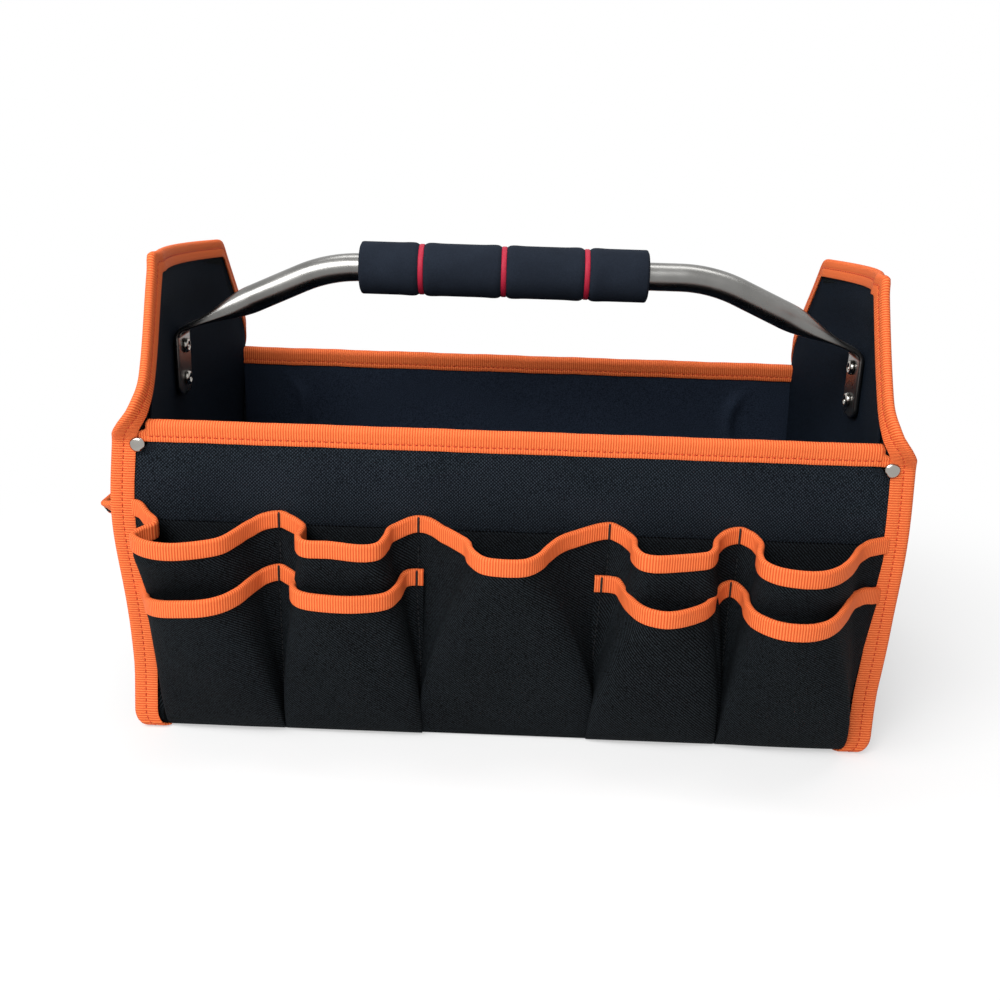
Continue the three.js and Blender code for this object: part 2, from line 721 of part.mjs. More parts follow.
// Half of the tube's centre line, from the middle of the grip to the end of the right tab,
// with the half width across the bag and the half thickness of the tube at each point
function handleHalf() {
  const round = { width: TUBE_RADIUS, thick: TUBE_RADIUS, power: 2 };
  const flat = { width: TAB_HALF_WIDTH, thick: TAB_HALF_THICK, power: TAB_POWER };
  const stations = [];
  const place = (x, z, angle, shape) => stations.push({ x, z, angle, ...shape });
  for (let k = 0; k <= BEND_STEPS; k += 1) {
    const angle = TUBE_SLOPE * k / BEND_STEPS;
    const x = TUBE_STRAIGHT + TUBE_BEND * Math.sin(angle);
    place(x, TUBE_TOP - TUBE_BEND * (1 - Math.cos(angle)), angle, round);
  }
  const bendEnd = stations[stations.length - 1];
  const lean = Math.PI / 2 - TUBE_SLOPE;
  const slopeEndX = TAB_X - TAB_BEND * (1 - Math.cos(lean));
  const slopeEndZ = bendEnd.z - (slopeEndX - bendEnd.x) * Math.tan(TUBE_SLOPE);
  for (let k = 0; k <= BEND_STEPS; k += 1) {
    const share = k / BEND_STEPS;
    const left = TAPER * (1 - share);
    const ease = THREE.MathUtils.smoothstep(share, 0, TAPER_FLAT);
    const mix = (key) => THREE.MathUtils.lerp(round[key], flat[key], ease);
    const shape = { width: mix('width'), thick: mix('thick'), power: mix('power') };
    const x = slopeEndX - left * Math.cos(TUBE_SLOPE);
    place(x, slopeEndZ + left * Math.sin(TUBE_SLOPE), TUBE_SLOPE, shape);
  }
  const tabTop = slopeEndZ - TAB_BEND * Math.sin(lean);
  for (let k = 1; k <= TAB_BEND_STEPS; k += 1) {
    const turn = lean * (1 - k / TAB_BEND_STEPS);
    const x = TAB_X - TAB_BEND * (1 - Math.cos(turn));
    place(x, tabTop + TAB_BEND * Math.sin(turn), Math.PI / 2 - turn, flat);
  }
  for (const share of TAB_END_STEPS) {
    const reach = 1 - share;
    const rounded = { ...flat, width: TAB_HALF_WIDTH * Math.sqrt(1 - TAB_END_CUT * reach ** 4) };
    place(TAB_X, TAB_BOTTOM + TAB_HALF_WIDTH * share, Math.PI / 2, rounded);
  }
  return stations;
}

function tubeSection({ width, thick, power }) {
  return Array.from({ length: TUBE_SIDES }, (_, k) => {
    const turn = 2 * Math.PI * k / TUBE_SIDES;
    const bend = (value) => Math.sign(value) * Math.abs(value) ** (2 / power);
    return [thick * bend(Math.sin(turn)), width * bend(Math.cos(turn))];
  });
}

function handleTube() {
  const right = handleHalf();
  const left = right.map((s) => ({ ...s, x: -s.x, angle: -s.angle })).reverse();
  const stations = [...left, ...right].map((s) => ({
    at: new THREE.Vector3(s.x, 0, s.z),
    along: new THREE.Vector3(Math.sin(s.angle), 0, Math.cos(s.angle)),
    across: new THREE.Vector3(0, 1, 0),
    section: tubeSection(s),
  }));
  const holes = [-1, 1].flatMap((sign) => Object.values(HANDLE_RIVETS).map((z) => (
    rod(HANDLE_SHANK + GAP, HANDLE_DRILL, 'x', [sign * TAB_X, 0, z]))));
  return drill(sweep(stations, false), holes);
}

// A handle rivet: a dome inside the ear and a flat wide head outside
function handleRivet() {
  const inner = TAB_X - TAB_HALF_THICK - GAP;
  const outer = SEAM_X + END_BOW + STACK / 2 + GAP;
  const dome = domeProfile(HANDLE_HEAD, HANDLE_DOME).map(([radius, at]) => [radius, inner + at]);
  const profile = [
    ...dome, [HANDLE_SHANK, inner], [HANDLE_SHANK, outer],
    [HANDLE_FOOT, outer], [HANDLE_FOOT, outer + HANDLE_FOOT_THICK], [0, outer + HANDLE_FOOT_THICK],
  ];
  const geometry = turned(profile, RIVET_SIDES);
  geometry.rotateZ(-Math.PI / 2);
  return geometry;
}

addMesh('handle_tube', handleTube(), STEEL);
for (const [hand, turn] of [['left', Math.PI], ['right', 0]]) {
  for (const [place, z] of Object.entries(HANDLE_RIVETS)) {
    const rivet = addMesh(`handle_rivet_${hand}_${place}`, handleRivet(), NICKEL);
    rivet.position.z = z;
    rivet.rotation.z = turn;
  }
}

// The grip turns about the tube's axis: its profile runs out along the bore and back outside
function gripFoam() {
  const end = GRIP_LENGTH / 2;
  const floor = GRIP_RADIUS - RING_DEPTH;
  const half = RING_WIDTH / 2 + GAP;
  const grooves = [1, 0, -1].flatMap((k) => {
    const at = k * RING_PITCH;
    return [[GRIP_RADIUS, at + half], [floor, at + half], [floor, at - half], [GRIP_RADIUS, at - half]];
  });
  const edge = GRIP_RADIUS - GRIP_EDGE;
  const profile = [
    [GRIP_BORE, -end], [GRIP_BORE, end], [edge, end], [GRIP_RADIUS, end - GRIP_EDGE],
    ...grooves,
    [GRIP_RADIUS, GRIP_EDGE - end], [edge, -end], [GRIP_BORE, -end],
  ];
  return turned(profile.reverse(), GRIP_SIDES);
}

function gripRing() {
  const inner = GRIP_RADIUS - RING_DEPTH + GAP;
  const outer = GRIP_RADIUS - GAP;
  const half = RING_WIDTH / 2;
  const profile = [[inner, -half], [outer, -half], [outer, half], [inner, half], [inner, -half]];
  return turned(profile, GRIP_SIDES);
}

const grip = new THREE.Group();
grip.position.set(GRIP_X, 0, TUBE_TOP);
grip.rotation.z = -Math.PI / 2;
bag.add(grip);
addMesh('grip_foam', gripFoam(), FOAM, grip);
for (const k of [-1, 0, 1]) {
  const ring = addMesh(`grip_ring_${k + 2}`, gripRing(), CRIMSON, grip);
  ring.position.y = k * RING_PITCH;
}

export default bag;
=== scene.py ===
# %% [markdown]
# # An open-top tool bag
# This lesson dresses a finished set of solids as a cloth tool bag: stiff walls, tall ends, rows of
# standing pockets, orange tape on every edge and a steel tube handle with a foam grip.
# The solids give the main places and sizes. The soft shapes between them follow the picture.

# %% Load the frame
import math
from collections import namedtuple
from functools import partial
from itertools import accumulate

import bmesh
import bpy
from mathutils import Matrix, Vector


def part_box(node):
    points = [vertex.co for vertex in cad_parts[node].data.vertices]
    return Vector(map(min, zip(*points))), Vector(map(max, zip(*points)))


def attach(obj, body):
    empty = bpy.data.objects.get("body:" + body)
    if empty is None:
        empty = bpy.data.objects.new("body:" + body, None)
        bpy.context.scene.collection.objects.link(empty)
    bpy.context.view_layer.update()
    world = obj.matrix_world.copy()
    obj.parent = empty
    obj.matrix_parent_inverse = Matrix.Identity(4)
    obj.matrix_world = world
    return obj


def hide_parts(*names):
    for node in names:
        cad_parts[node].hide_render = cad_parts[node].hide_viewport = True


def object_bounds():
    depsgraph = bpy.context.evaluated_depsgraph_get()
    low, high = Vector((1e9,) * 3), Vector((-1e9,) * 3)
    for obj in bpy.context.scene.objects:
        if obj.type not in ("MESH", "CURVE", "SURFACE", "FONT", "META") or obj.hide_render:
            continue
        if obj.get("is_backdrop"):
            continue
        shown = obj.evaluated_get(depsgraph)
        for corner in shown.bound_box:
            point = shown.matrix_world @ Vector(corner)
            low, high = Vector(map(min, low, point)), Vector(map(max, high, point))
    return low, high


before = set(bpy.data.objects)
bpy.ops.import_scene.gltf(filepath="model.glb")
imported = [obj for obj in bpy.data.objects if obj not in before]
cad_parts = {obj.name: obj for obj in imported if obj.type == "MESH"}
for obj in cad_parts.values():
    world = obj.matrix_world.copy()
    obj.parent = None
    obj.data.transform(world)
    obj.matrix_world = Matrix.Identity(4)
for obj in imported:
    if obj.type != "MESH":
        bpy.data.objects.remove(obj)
cad_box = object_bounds()

# %% [markdown]
# ## Units and small helpers
# Shapes are worked out in millimetres, as a bag maker measures, and MM turns them into Blender's
# metres at the very end. Sizes that the solids already hold are read from their boxes.

# %% Units and helpers
MM = 0.001


def cad(node):
    low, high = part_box(node)
    return Vector(low) / MM, Vector(high) / MM


def lerp(a, b, share):
    return a + (b - a) * share


def spaced(low, high, steps):
    """Evenly spaced numbers, with both ends."""
    return [lerp(low, high, k / steps) for k in range(steps + 1)]


def span(value, low, high):
    """Where a value lies between two others, from 0 to 1."""
    return min(1.0, max(0.0, (value - low) / (high - low)))


def smooth(value, low, high):
    share = span(value, low, high)
    return share * share * (3 - 2 * share)


def bump(value, centre, width):
    return math.exp(-((value - centre) / width) ** 2)


def distances(points):
    """How far along a line of points each one lies."""
    return [0, *accumulate((b - a).length for a, b in zip(points, points[1:]))]


WALL_Y = -cad("front_panel")[0].y
CLOTH = cad("front_panel")[1].y + WALL_Y
BAND_BOTTOM = cad("front_band")[0].z
FLANGE_X = cad("front_band")[1].x
CLOTH_TOP = cad("front_band")[1].z
INNER_X = cad("front_lining")[1].x
LINING_Y = -cad("front_lining")[1].y
LINING = -cad("front_lining")[0].y - LINING_Y
LINING_FOOT = cad("front_lining")[0].z
STACK = WALL_Y - LINING_Y
GAP = 0.3
TAPE = 0.9
print(f"walls {2 * WALL_Y:.0f} mm apart, {CLOTH_TOP:.1f} mm tall, {STACK:.1f} mm thick")

# %% [markdown]
# ## Finishes
# Cloth, tape, foam and steel are all made from nodes. A weave is a floor of small cells: in each one
# either the thread along the cloth or the thread across it lies on top, and that rule draws plain
# weave or twill. The patterns read the pieces' own UVs, which count metres of cloth.

# %% Node helpers
FINISHES = {}


def wire(tree, value, socket):
    if isinstance(value, bpy.types.NodeSocket):
        tree.links.new(value, socket)
    else:
        socket.default_value = value


def set_inputs(tree, node, inputs):
    """Sets or wires inputs by name; an underscore stands for a space."""
    for name, value in inputs.items():
        wire(tree, value, node.inputs[name.replace("_", " ")])


def add_node(tree, kind, **inputs):
    node = tree.nodes.new(f"ShaderNode{kind}")
    set_inputs(tree, node, inputs)
    return node


def math_node(tree, operation, *values):
    node = add_node(tree, "Math")
    node.operation = operation
    for value, socket in zip(values, node.inputs):
        wire(tree, value, socket)
    return node.outputs[0]


def lerp_node(tree, share, low, high):
    return math_node(tree, "MULTIPLY_ADD", share, high - low, low)


def mix_colour(tree, share, *colours):
    node = add_node(tree, "Mix")
    node.data_type = "RGBA"
    wire(tree, share, node.inputs["Factor"])
    for colour, socket in zip(colours, node.inputs[6:8]):
        wire(tree, (*colour, 1) if isinstance(colour, tuple) else colour, socket)
    return node.outputs[2]


def noise(tree, scale, detail):
    place = add_node(tree, "TexCoord").outputs["Object"]
    return add_node(tree, "TexNoise", Vector=place, Scale=scale, Detail=detail).outputs["Fac"]


def cloth_place(tree):
    """The two distances along the cloth, in metres."""
    parts = add_node(tree, "SeparateXYZ", Vector=add_node(tree, "TexCoord").outputs["UV"])
    return parts.outputs["X"], parts.outputs["Y"]


def shader_of(tree):
    return tree.nodes["Principled BSDF"]


def paint(tree, share, dark, light):
    tree.links.new(mix_colour(tree, share, dark, light), shader_of(tree).inputs["Base Color"])


def add_bump(tree, height, depth, strength):
    """Relief that is depth millimetres tall."""
    node = add_node(tree, "Bump", Strength=strength, Distance=depth * MM, Height=height)
    tree.links.new(node.outputs["Normal"], shader_of(tree).inputs["Normal"])


def new_finish(name, **sockets):
    """Starts a material, keeps it by its name and returns its nodes."""
    material = bpy.data.materials.new(name)
    material.use_nodes = True
    FINISHES[name] = material
    set_inputs(material.node_tree, shader_of(material.node_tree), sockets)
    return material.node_tree


def weave(tree, pitch, run):
    """Height of woven threads, and 1 where the lengthwise thread is on top; run 2 gives a twill."""
    along, across = (math_node(tree, "DIVIDE", value, pitch) for value in cloth_place(tree))
    cell = math_node(tree, "ADD", math_node(tree, "FLOOR", along), math_node(tree, "FLOOR", across))
    over = math_node(tree, "LESS_THAN", math_node(tree, "FLOORED_MODULO", cell, 2.0 * run), float(run))
    rounds = []
    for value in (along, across):
        turn = math_node(tree, "MULTIPLY", math_node(tree, "FRACT", value), math.pi)
        rounds.append(math_node(tree, "SINE", turn))
    under = math_node(tree, "SUBTRACT", 1.0, over)
    height = math_node(tree, "ADD", math_node(tree, "MULTIPLY", rounds[0], over),
                       math_node(tree, "MULTIPLY", rounds[1], under))
    return height, over


# %% Finishes of the cloth, tape, foam and metal
FIBRE_SCALE, FIBRE_LIGHT = 1500.0, (-1.2, 3.2)
WORN_SCALE, WORN_LIGHT = 22.0, (0.5, 1.5)
TAPE_RIB = 1.35


def cloth_finish(name, pitch, run, dark, light, rough, depth, under):
    """Woven cloth with painted light: each thread's crown is painted brighter as a highlight, and painted
    shade darkens a thread where it passes below the other one; under is how bright a thread stays there.
    """
    tree = new_finish(name, Roughness=rough, Specular_IOR_Level=0.05)
    height, over = weave(tree, pitch * MM, run)
    # Painted highlight on the thread crowns and painted shade where a thread passes under.
    lit = math_node(tree, "MULTIPLY", height, lerp_node(tree, over, under, 1.0))
    fibre, worn = noise(tree, FIBRE_SCALE, 1.0), noise(tree, WORN_SCALE, 4.0)
    lit = math_node(tree, "MULTIPLY", lit, lerp_node(tree, fibre, *FIBRE_LIGHT))
    lit = math_node(tree, "MULTIPLY", lit, lerp_node(tree, worn, *WORN_LIGHT))
    paint(tree, lit, dark, light)
    add_bump(tree, height, depth, strength=0.8)


def tape_finish(name):
    """Ribbed tape: ribs run across it, and painted shade turns the orange deeper between them."""
    tree = new_finish(name, Roughness=0.7, Specular_IOR_Level=0.15)
    along, _ = cloth_place(tree)
    turn = math_node(tree, "MULTIPLY", along, 2 * math.pi / (TAPE_RIB * MM))
    rib = math_node(tree, "MULTIPLY_ADD", math_node(tree, "SINE", turn), 0.5, 0.5)
    fibre, soiled = noise(tree, 1800.0, 2.0), noise(tree, 30.0, 3.0)
    lit = math_node(tree, "MULTIPLY", rib, lerp_node(tree, fibre, 0.75, 1.2))
    # Painted shade between the ribs: a deeper orange, whose tone varies at random.
    groove = mix_colour(tree, soiled, (0.52, 0.055, 0.011), (0.64, 0.086, 0.018))
    paint(tree, lit, groove, (0.86, 0.214, 0.062))
    add_bump(tree, rib, depth=0.16, strength=0.9)


def foam_finish(name):
    """Closed foam: fine cells that break up the light, a little paler where hands have rubbed."""
    tree = new_finish(name, Roughness=0.9, Specular_IOR_Level=0.08)
    cells, rubbed = noise(tree, 1500.0, 3.0), noise(tree, 45.0, 3.0)
    lit = lerp_node(tree, math_node(tree, "MULTIPLY", cells, rubbed), 0.0, 1.6)
    paint(tree, lit, (0.007, 0.0095, 0.015), (0.020, 0.027, 0.041))
    add_bump(tree, cells, depth=0.25, strength=0.5)


def metal_finish(name, dark, light, rough):
    """Polished metal: fine drawn lines and a few dull patches where it has been handled."""
    tree = new_finish(name, Metallic=1.0)
    dull = noise(tree, 60.0, 4.0)
    paint(tree, dull, dark, light)
    tree.links.new(lerp_node(tree, dull, rough * 0.7, rough * 1.4), shader_of(tree).inputs["Roughness"])
    add_bump(tree, noise(tree, 900.0, 2.0), depth=0.02, strength=0.35)


def grained_finish(name, dark, light, scale, detail, depth, strength, **sockets):
    """A plain material of two close tones, rough at the size of its grain."""
    tree = new_finish(name, **sockets)
    grain = noise(tree, scale, detail)
    paint(tree, grain, dark, light)
    add_bump(tree, grain, depth, strength)


cloth_finish("twill_cloth", pitch=0.46, run=2, rough=0.85, depth=0.2, under=0.02,
             dark=(0.0003, 0.0004, 0.0005), light=(0.0255, 0.0322, 0.0382))
cloth_finish("grid_cloth", pitch=0.9, run=1, rough=0.85, depth=0.14, under=0.12,
             dark=(0.0018, 0.0028, 0.0042), light=(0.0285, 0.0375, 0.049))
cloth_finish("lining_cloth", pitch=0.4, run=1, rough=0.8, depth=0.06, under=0.3,
             dark=(0.0065, 0.0098, 0.0175), light=(0.027, 0.039, 0.063))
# A darker copy of the lining cloth for the ends' lining: its darker tone is painted shade.
cloth_finish("end_lining", pitch=0.4, run=1, rough=0.85, depth=0.06, under=0.3,
             dark=(0.0018, 0.0032, 0.0058), light=(0.0118, 0.0185, 0.0305))
tape_finish("orange_tape")
foam_finish("grip_foam")
metal_finish("polished_steel", (0.15, 0.148, 0.142), (0.24, 0.237, 0.228), rough=0.27)
metal_finish("rivet_nickel", (0.30, 0.285, 0.26), (0.44, 0.425, 0.395), rough=0.2)
grained_finish("ring_crimson", (0.30, 0.006, 0.022), (0.46, 0.013, 0.045), scale=1700.0, detail=2.0,
               depth=0.12, strength=0.5, Roughness=0.6, Specular_IOR_Level=0.3)
grained_finish("stiffener", (0.05, 0.05, 0.052), (0.075, 0.075, 0.08), scale=400.0, detail=3.0,
               depth=0.1, strength=0.4, Roughness=0.7)
for thread, dark, light in (("orange_thread", (0.40, 0.03, 0.006), (0.60, 0.06, 0.012)),
                            ("black_thread", (0.002, 0.002, 0.003), (0.007, 0.007, 0.008))):
    grained_finish(thread, dark, light, scale=2600.0, detail=2.0, depth=0.1, strength=0.6,
                   Roughness=0.55, Specular_IOR_Level=0.3)
print(f"{len(FINISHES)} finishes")

# %% [markdown]
# ## Turning a plain grid into cloth
# Every cloth piece starts as a flat grid. A rule moves each of its points to where the cloth hangs,
# and the Solidify modifier gives it thickness. The UVs keep the flat size, so a weave stays true.

# %% Grid, piece and stitch helpers
SOFT_EDGE = 0.3
SHARP = math.radians(60)


def add_grid(bm, columns, rows, place, flat):
    """Adds a grid: place gives each point in millimetres; flat, a size or a rule, gives the UVs."""
    uv = bm.loops.layers.uv.verify()
    made = bmesh.ops.create_grid(bm, x_segments=columns, y_segments=rows, size=0.5)["verts"]
    for vert in made:
        s, t = vert.co.x + 0.5, vert.co.y + 0.5
        spot = Vector(flat(s, t) if callable(flat) else (s * flat[0], t * flat[1])) * MM
        for loop in vert.link_loops:
            loop[uv].uv = spot
        vert.co = place(s, t) * MM


def add_object(name, data):
    thing = bpy.data.objects.new(name, data)
    bpy.context.collection.objects.link(thing)
    return thing


def add_mesh(name, bm, finish):
    mesh = bpy.data.meshes.new(name)
    bm.to_mesh(mesh)
    bm.free()
    mesh.materials.append(FINISHES[finish])
    return add_object(name, mesh)


def make_piece(name, bm, finish, nodes=(), thick=0.0, body="bag"):
    piece = add_mesh(name, bm, finish)
    piece.data.shade_smooth()
    if thick:
        solid = piece.modifiers.new("thickness", "SOLIDIFY")
        solid.thickness = thick * MM
        solid.offset = 0
        edge = piece.modifiers.new("soft_edge", "BEVEL")
        edge.width = SOFT_EDGE * thick * MM
        edge.segments = 2
        edge.limit_method = "ANGLE"
        edge.angle_limit = SHARP
    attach(piece, body)
    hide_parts(*nodes)
    print(f"{name}: {len(piece.data.polygons)} faces")
    return piece


def sheet_piece(name, grid, place, flat, finish, nodes, thick):
    bm = bmesh.new()
    add_grid(bm, *grid, place, flat)
    return make_piece(name, bm, finish, nodes, thick)


def walk(points, pitch):
    """Places at an even pitch along a line of points, with the direction of the line at each."""
    lengths = distances(points)
    count = max(1, int(lengths[-1] / pitch))
    found, k = [], 0
    for i in range(count):
        reach = (i + 0.5) * lengths[-1] / count
        while lengths[k + 1] < reach:
            k += 1
        step = points[k + 1] - points[k]
        found.append((points[k] + step * ((reach - lengths[k]) / step.length), step.normalized(), k))
    return found


STITCH_PITCH = 3.3
STITCH_LENGTH = 2.5
THREAD_RADIUS = 0.36


def add_stitches(bm, points, lifts, pitch=STITCH_PITCH, length=STITCH_LENGTH, radius=THREAD_RADIUS):
    """A row of short threads on a line of points; lifts say which way each one stands up."""
    for at, along, k in walk(points, pitch):
        side = along.cross(lifts[k]).normalized()
        up = side.cross(along)
        turn = Matrix((along * length / 2, side * radius, up * radius)).transposed().to_4x4()
        place = Matrix.Translation(at) @ turn
        bmesh.ops.create_icosphere(bm, subdivisions=1, radius=1.0, matrix=Matrix.Scale(MM, 4) @ place)


# %% [markdown]
# ## Folded tape
# Each edge of the bag is bound: a woven tape is folded over it and sewn through. Its section is two
# flat legs joined by a round fold, with a shallow groove where the seam pulls it in.

# %% Folded tape
FOLD_STEPS = 6
LEG_STEPS = (1.0, 0.96, 0.88, 0.8, 0.72, 0.64, 0.56, 0.48, 0.4, 0.32, 0.24, 0.16, 0.08)
SIDE_SEAM = 0.4
TOP_SEAM = 0.64
SEAM_DEPTH, SEAM_WIDTH = 0.35, 0.09
EDGE_TURN, EDGE_FROM = 0.25, 0.9
THREAD_RISE = 0.3


def tape_profile(leg, half, seam):
    """Across a tape: distances towards the fold and from the middle; seam is a share of the leg."""
    def leg_height(share):
        pulled = SEAM_DEPTH * bump(share, seam, SEAM_WIDTH) if seam else 0
        return half - pulled - EDGE_TURN * smooth(share, EDGE_FROM, 1.0)
    outer = [(-leg * share, leg_height(share)) for share in LEG_STEPS]
    fold = [(half * math.sin(turn), half * math.cos(turn)) for turn in spaced(0, math.pi, FOLD_STEPS)]
    return [*outer, *fold, *((a, -b) for a, b in reversed(outer))]


def add_tape(bm, stations, seam=SIDE_SEAM, closed=False):
    """Sweeps the section along stations of (edge point, way out, way across, half thickness, leg)."""
    profiles = [tape_profile(leg, half, seam) for _, _, _, half, leg in stations]
    rows = len(profiles[0]) - 1
    lengths = distances([station[0] for station in stations])

    def lay(s, t):
        k = round(s * (len(stations) - 1))
        return lengths[k], t * 2 * stations[k][4]

    def place(s, t):
        k = round(s * (len(stations) - 1))
        at, out, across = stations[k][:3]
        a, b = profiles[k][round(t * rows)]
        return at + out * a + across * b

    add_grid(bm, len(stations) - 1, rows, place, lay)
    if closed:
        bmesh.ops.remove_doubles(bm, verts=bm.verts, dist=0.02 * MM)


def tape_piece(name, stations, node, seam=SIDE_SEAM, closed=False):
    bm = bmesh.new()
    add_tape(bm, stations, seam, closed)
    make_piece(name, bm, "orange_tape", [node], TAPE)


def seam_line(stations, side, seam):
    """The line of stitches along one leg of a tape: side 1 is outside, -1 inside."""
    points, lifts = [], []
    for at, out, across, half, leg in stations:
        lift = half - SEAM_DEPTH + TAPE / 2 + THREAD_RADIUS * THREAD_RISE
        points.append(at - out * (leg * seam) + across * (side * lift))
        lifts.append(across * side)
    return points, lifts


def stitch_piece(name, stations, seam=SIDE_SEAM):
    """A row of stitches along each leg of a tape."""
    bm = bmesh.new()
    for side in (1, -1):
        add_stitches(bm, *seam_line(stations, side, seam))
    make_piece(name, bm, "orange_thread")


# %% [markdown]
# ## Front and back walls
# A wall is a sandwich: outer cloth, a stiff board and a lining. The cloth is never dead flat, so each
# sheet swells a little between its seams. The upper band is a plain square weave with a straight hem.

# %% Wall cloths
SIDES = (("front", 1), ("back", -1))
PANEL_SWELL, BAND_SWELL, LINING_SWELL = 0.5, 0.8, 1.4
PANEL_FOOT = {1: (22, 50), -1: (8, 16)}
BAND_CORNER = (153, 163)
SQUEEZE_FROM, SQUEEZE = 184, 0.82
HEM_LIFT = 0.4
CORNER_REACH, CORNER_RISE = 4, (50, 120)
ROLL_X, ROLL_Z = INNER_X - 4, 132
ROLL_RADIUS, ROLL_WIDTH, ROLL_HEIGHT = 34, 4, 3.6
ROLL_RISE, ROLL_FADE = (96, 120), (12, 30)


def swell(s, t, height):
    """How far a sewn sheet stands off between its seams, with slow uneven waves."""
    dome = math.sin(math.pi * s) * math.sin(math.pi * t)
    waves = 0.5 * math.sin(9 * s + 2 * t) + 0.5 * math.sin(5 * t - 13 * s)
    return height * max(0.0, dome) ** 0.6 * (0.7 + 0.3 * waves)


def wall_point(turn, s, off, z, squeeze):
    """A point of a wall's outer cloth; its ends are squeezed in where the side seam turns away."""
    x = lerp(-FLANGE_X, FLANGE_X, s)
    spare = max(0.0, abs(x) - SQUEEZE_FROM) * SQUEEZE * squeeze
    return Vector((turn * (x - math.copysign(spare, x)), -turn * (WALL_Y - CLOTH / 2 + off), z))


def wall_panel(turn, s, t):
    z = lerp(0, BAND_BOTTOM - GAP, t)
    return wall_point(turn, s, swell(s, t, PANEL_SWELL), z, 1 - smooth(z, *PANEL_FOOT[turn]))


def wall_band(turn, s, t):
    z = lerp(BAND_BOTTOM, CLOTH_TOP, t)
    off = HEM_LIFT * (1 - t) + swell(s, t, BAND_SWELL)
    return wall_point(turn, s, off, z, smooth(z, *BAND_CORNER))


def corner_roll(x, z):
    """A soft roll of spare lining near each top corner of the wall."""
    fade = smooth(z, *ROLL_RISE) * smooth(CLOTH_TOP - z, *ROLL_FADE)
    return ROLL_HEIGHT * fade * sum(bump(math.hypot(x - end, z - ROLL_Z), ROLL_RADIUS, ROLL_WIDTH)
                                    for end in (-ROLL_X, ROLL_X))


def wall_lining(turn, s, t):
    z = lerp(LINING_FOOT, CLOTH_TOP, t)
    half = INNER_X + CORNER_REACH * smooth(z, *CORNER_RISE)
    x = lerp(-half, half, s)
    y = -(LINING_Y + LINING / 2) + swell(s, t, LINING_SWELL) + corner_roll(x, z)
    return Vector((turn * x, turn * y, z))


WALL_SHEETS = (
    ("panel", (120, 40), wall_panel, (2 * FLANGE_X, BAND_BOTTOM), "twill_cloth", CLOTH),
    ("band", (160, 24), wall_band, (2 * FLANGE_X, CLOTH_TOP - BAND_BOTTOM), "grid_cloth", CLOTH),
    ("lining", (180, 80), wall_lining, (2 * INNER_X, CLOTH_TOP), "lining_cloth", LINING),
)
for side, turn in SIDES:
    for layer, grid, place, (wide, tall), finish, thick in WALL_SHEETS:
        sheet = sheet_piece(f"{side}_{layer}_cloth", grid, partial(place, turn), (wide, tall), finish,
                            [f"{side}_{layer}"], thick)

# %% Top tapes
TOP_TRIM = 3.2
TOP_LEG = CLOTH_TOP - cad("front_top_tape")[0].z - TOP_TRIM
TOP_FOLD = CLOTH_TOP - 0.5
TOP_TUCK = 6
TOP_REACH = cad("front_top_tape")[1].x + TOP_TUCK
TOP_INNER = INNER_X + CORNER_REACH
TOP_CROWN = TOP_INNER + 1
TOP_HALF = STACK / 2 + GAP + TAPE / 2
TOP_STEPS, TOP_END_STEPS = 180, 8
TOP_END_TURN = 0.45 * TOP_LEG
TOP_END_DROOP = 0.8
WALL_MIDDLE = WALL_Y - STACK / 2


def top_stations(turn):
    found = []
    for x in spaced(-TOP_INNER, TOP_INNER, TOP_STEPS):
        ripple = 0.1 * math.sin(0.11 * x) + 0.06 * math.sin(0.31 * x + 1)
        at = Vector((turn * x, -turn * (WALL_MIDDLE + ripple), TOP_FOLD + ripple))
        found.append((at, Vector((0, 0, 1)), Vector((0, -turn, 0)), TOP_HALF, TOP_LEG))
    return found


def add_top_end(bm, turn, sign):
    """The outer leg of the fold runs on under the end seam, and its crown stops at the corner."""
    profile = tape_profile(TOP_LEG, TOP_HALF, TOP_SEAM)
    rows = len(profile) // 2

    def place(s, t):
        a, b = profile[round(t * rows)]
        x = lerp(TOP_INNER, lerp(TOP_REACH, TOP_CROWN, smooth(a, -TOP_END_TURN, 0)), s)
        return Vector((turn * sign * x, -turn * (WALL_MIDDLE + b), TOP_FOLD + a - TOP_END_DROOP * s * s))

    add_grid(bm, TOP_END_STEPS, rows, place, (TOP_REACH - TOP_INNER, TOP_LEG))


for side, turn in SIDES:
    bm = bmesh.new()
    stations = top_stations(turn)
    add_tape(bm, stations, TOP_SEAM)
    for sign in (-1, 1):
        add_top_end(bm, turn, sign)
    make_piece(f"{side}_top_binding", bm, "orange_tape", [f"{side}_top_tape"], TAPE)
    stitch_piece(f"{side}_top_stitches", stations, TOP_SEAM)

# %% [markdown]
# ## Base
# The base is what the bag stands on, so its cloth stays flat. The lining inside it may lift a little.

# %% Base cloths
FLOOR_SWELL = 1.2
BASE_SHEETS = (
    ("base_cloth", "base_panel", (60, 40), 0, "twill_cloth", CLOTH, "stretched"),
    ("base_lining_cloth", "base_lining", (90, 60), FLOOR_SWELL, "lining_cloth", LINING, "laid"),
)


def base_point(low, high, height, s, t):
    x, y = lerp(low.x, high.x, s), lerp(low.y, high.y, t)
    return Vector((x, y, (low.z + high.z) / 2 + swell(s, t, height)))


for name, node, grid, height, finish, thick, held in BASE_SHEETS:
    low, high = cad(node)
    size = (high - low).xy
    sheet = sheet_piece(name, grid, partial(base_point, low, high, height), size, finish, [node], thick)

# %% [markdown]
# ## Ends
# Each end is one tall panel. Its seam with the walls points outwards as a flange, and above the walls
# the flange turns flat and becomes the rim of an ear, where the handle is riveted. The panel bows out.

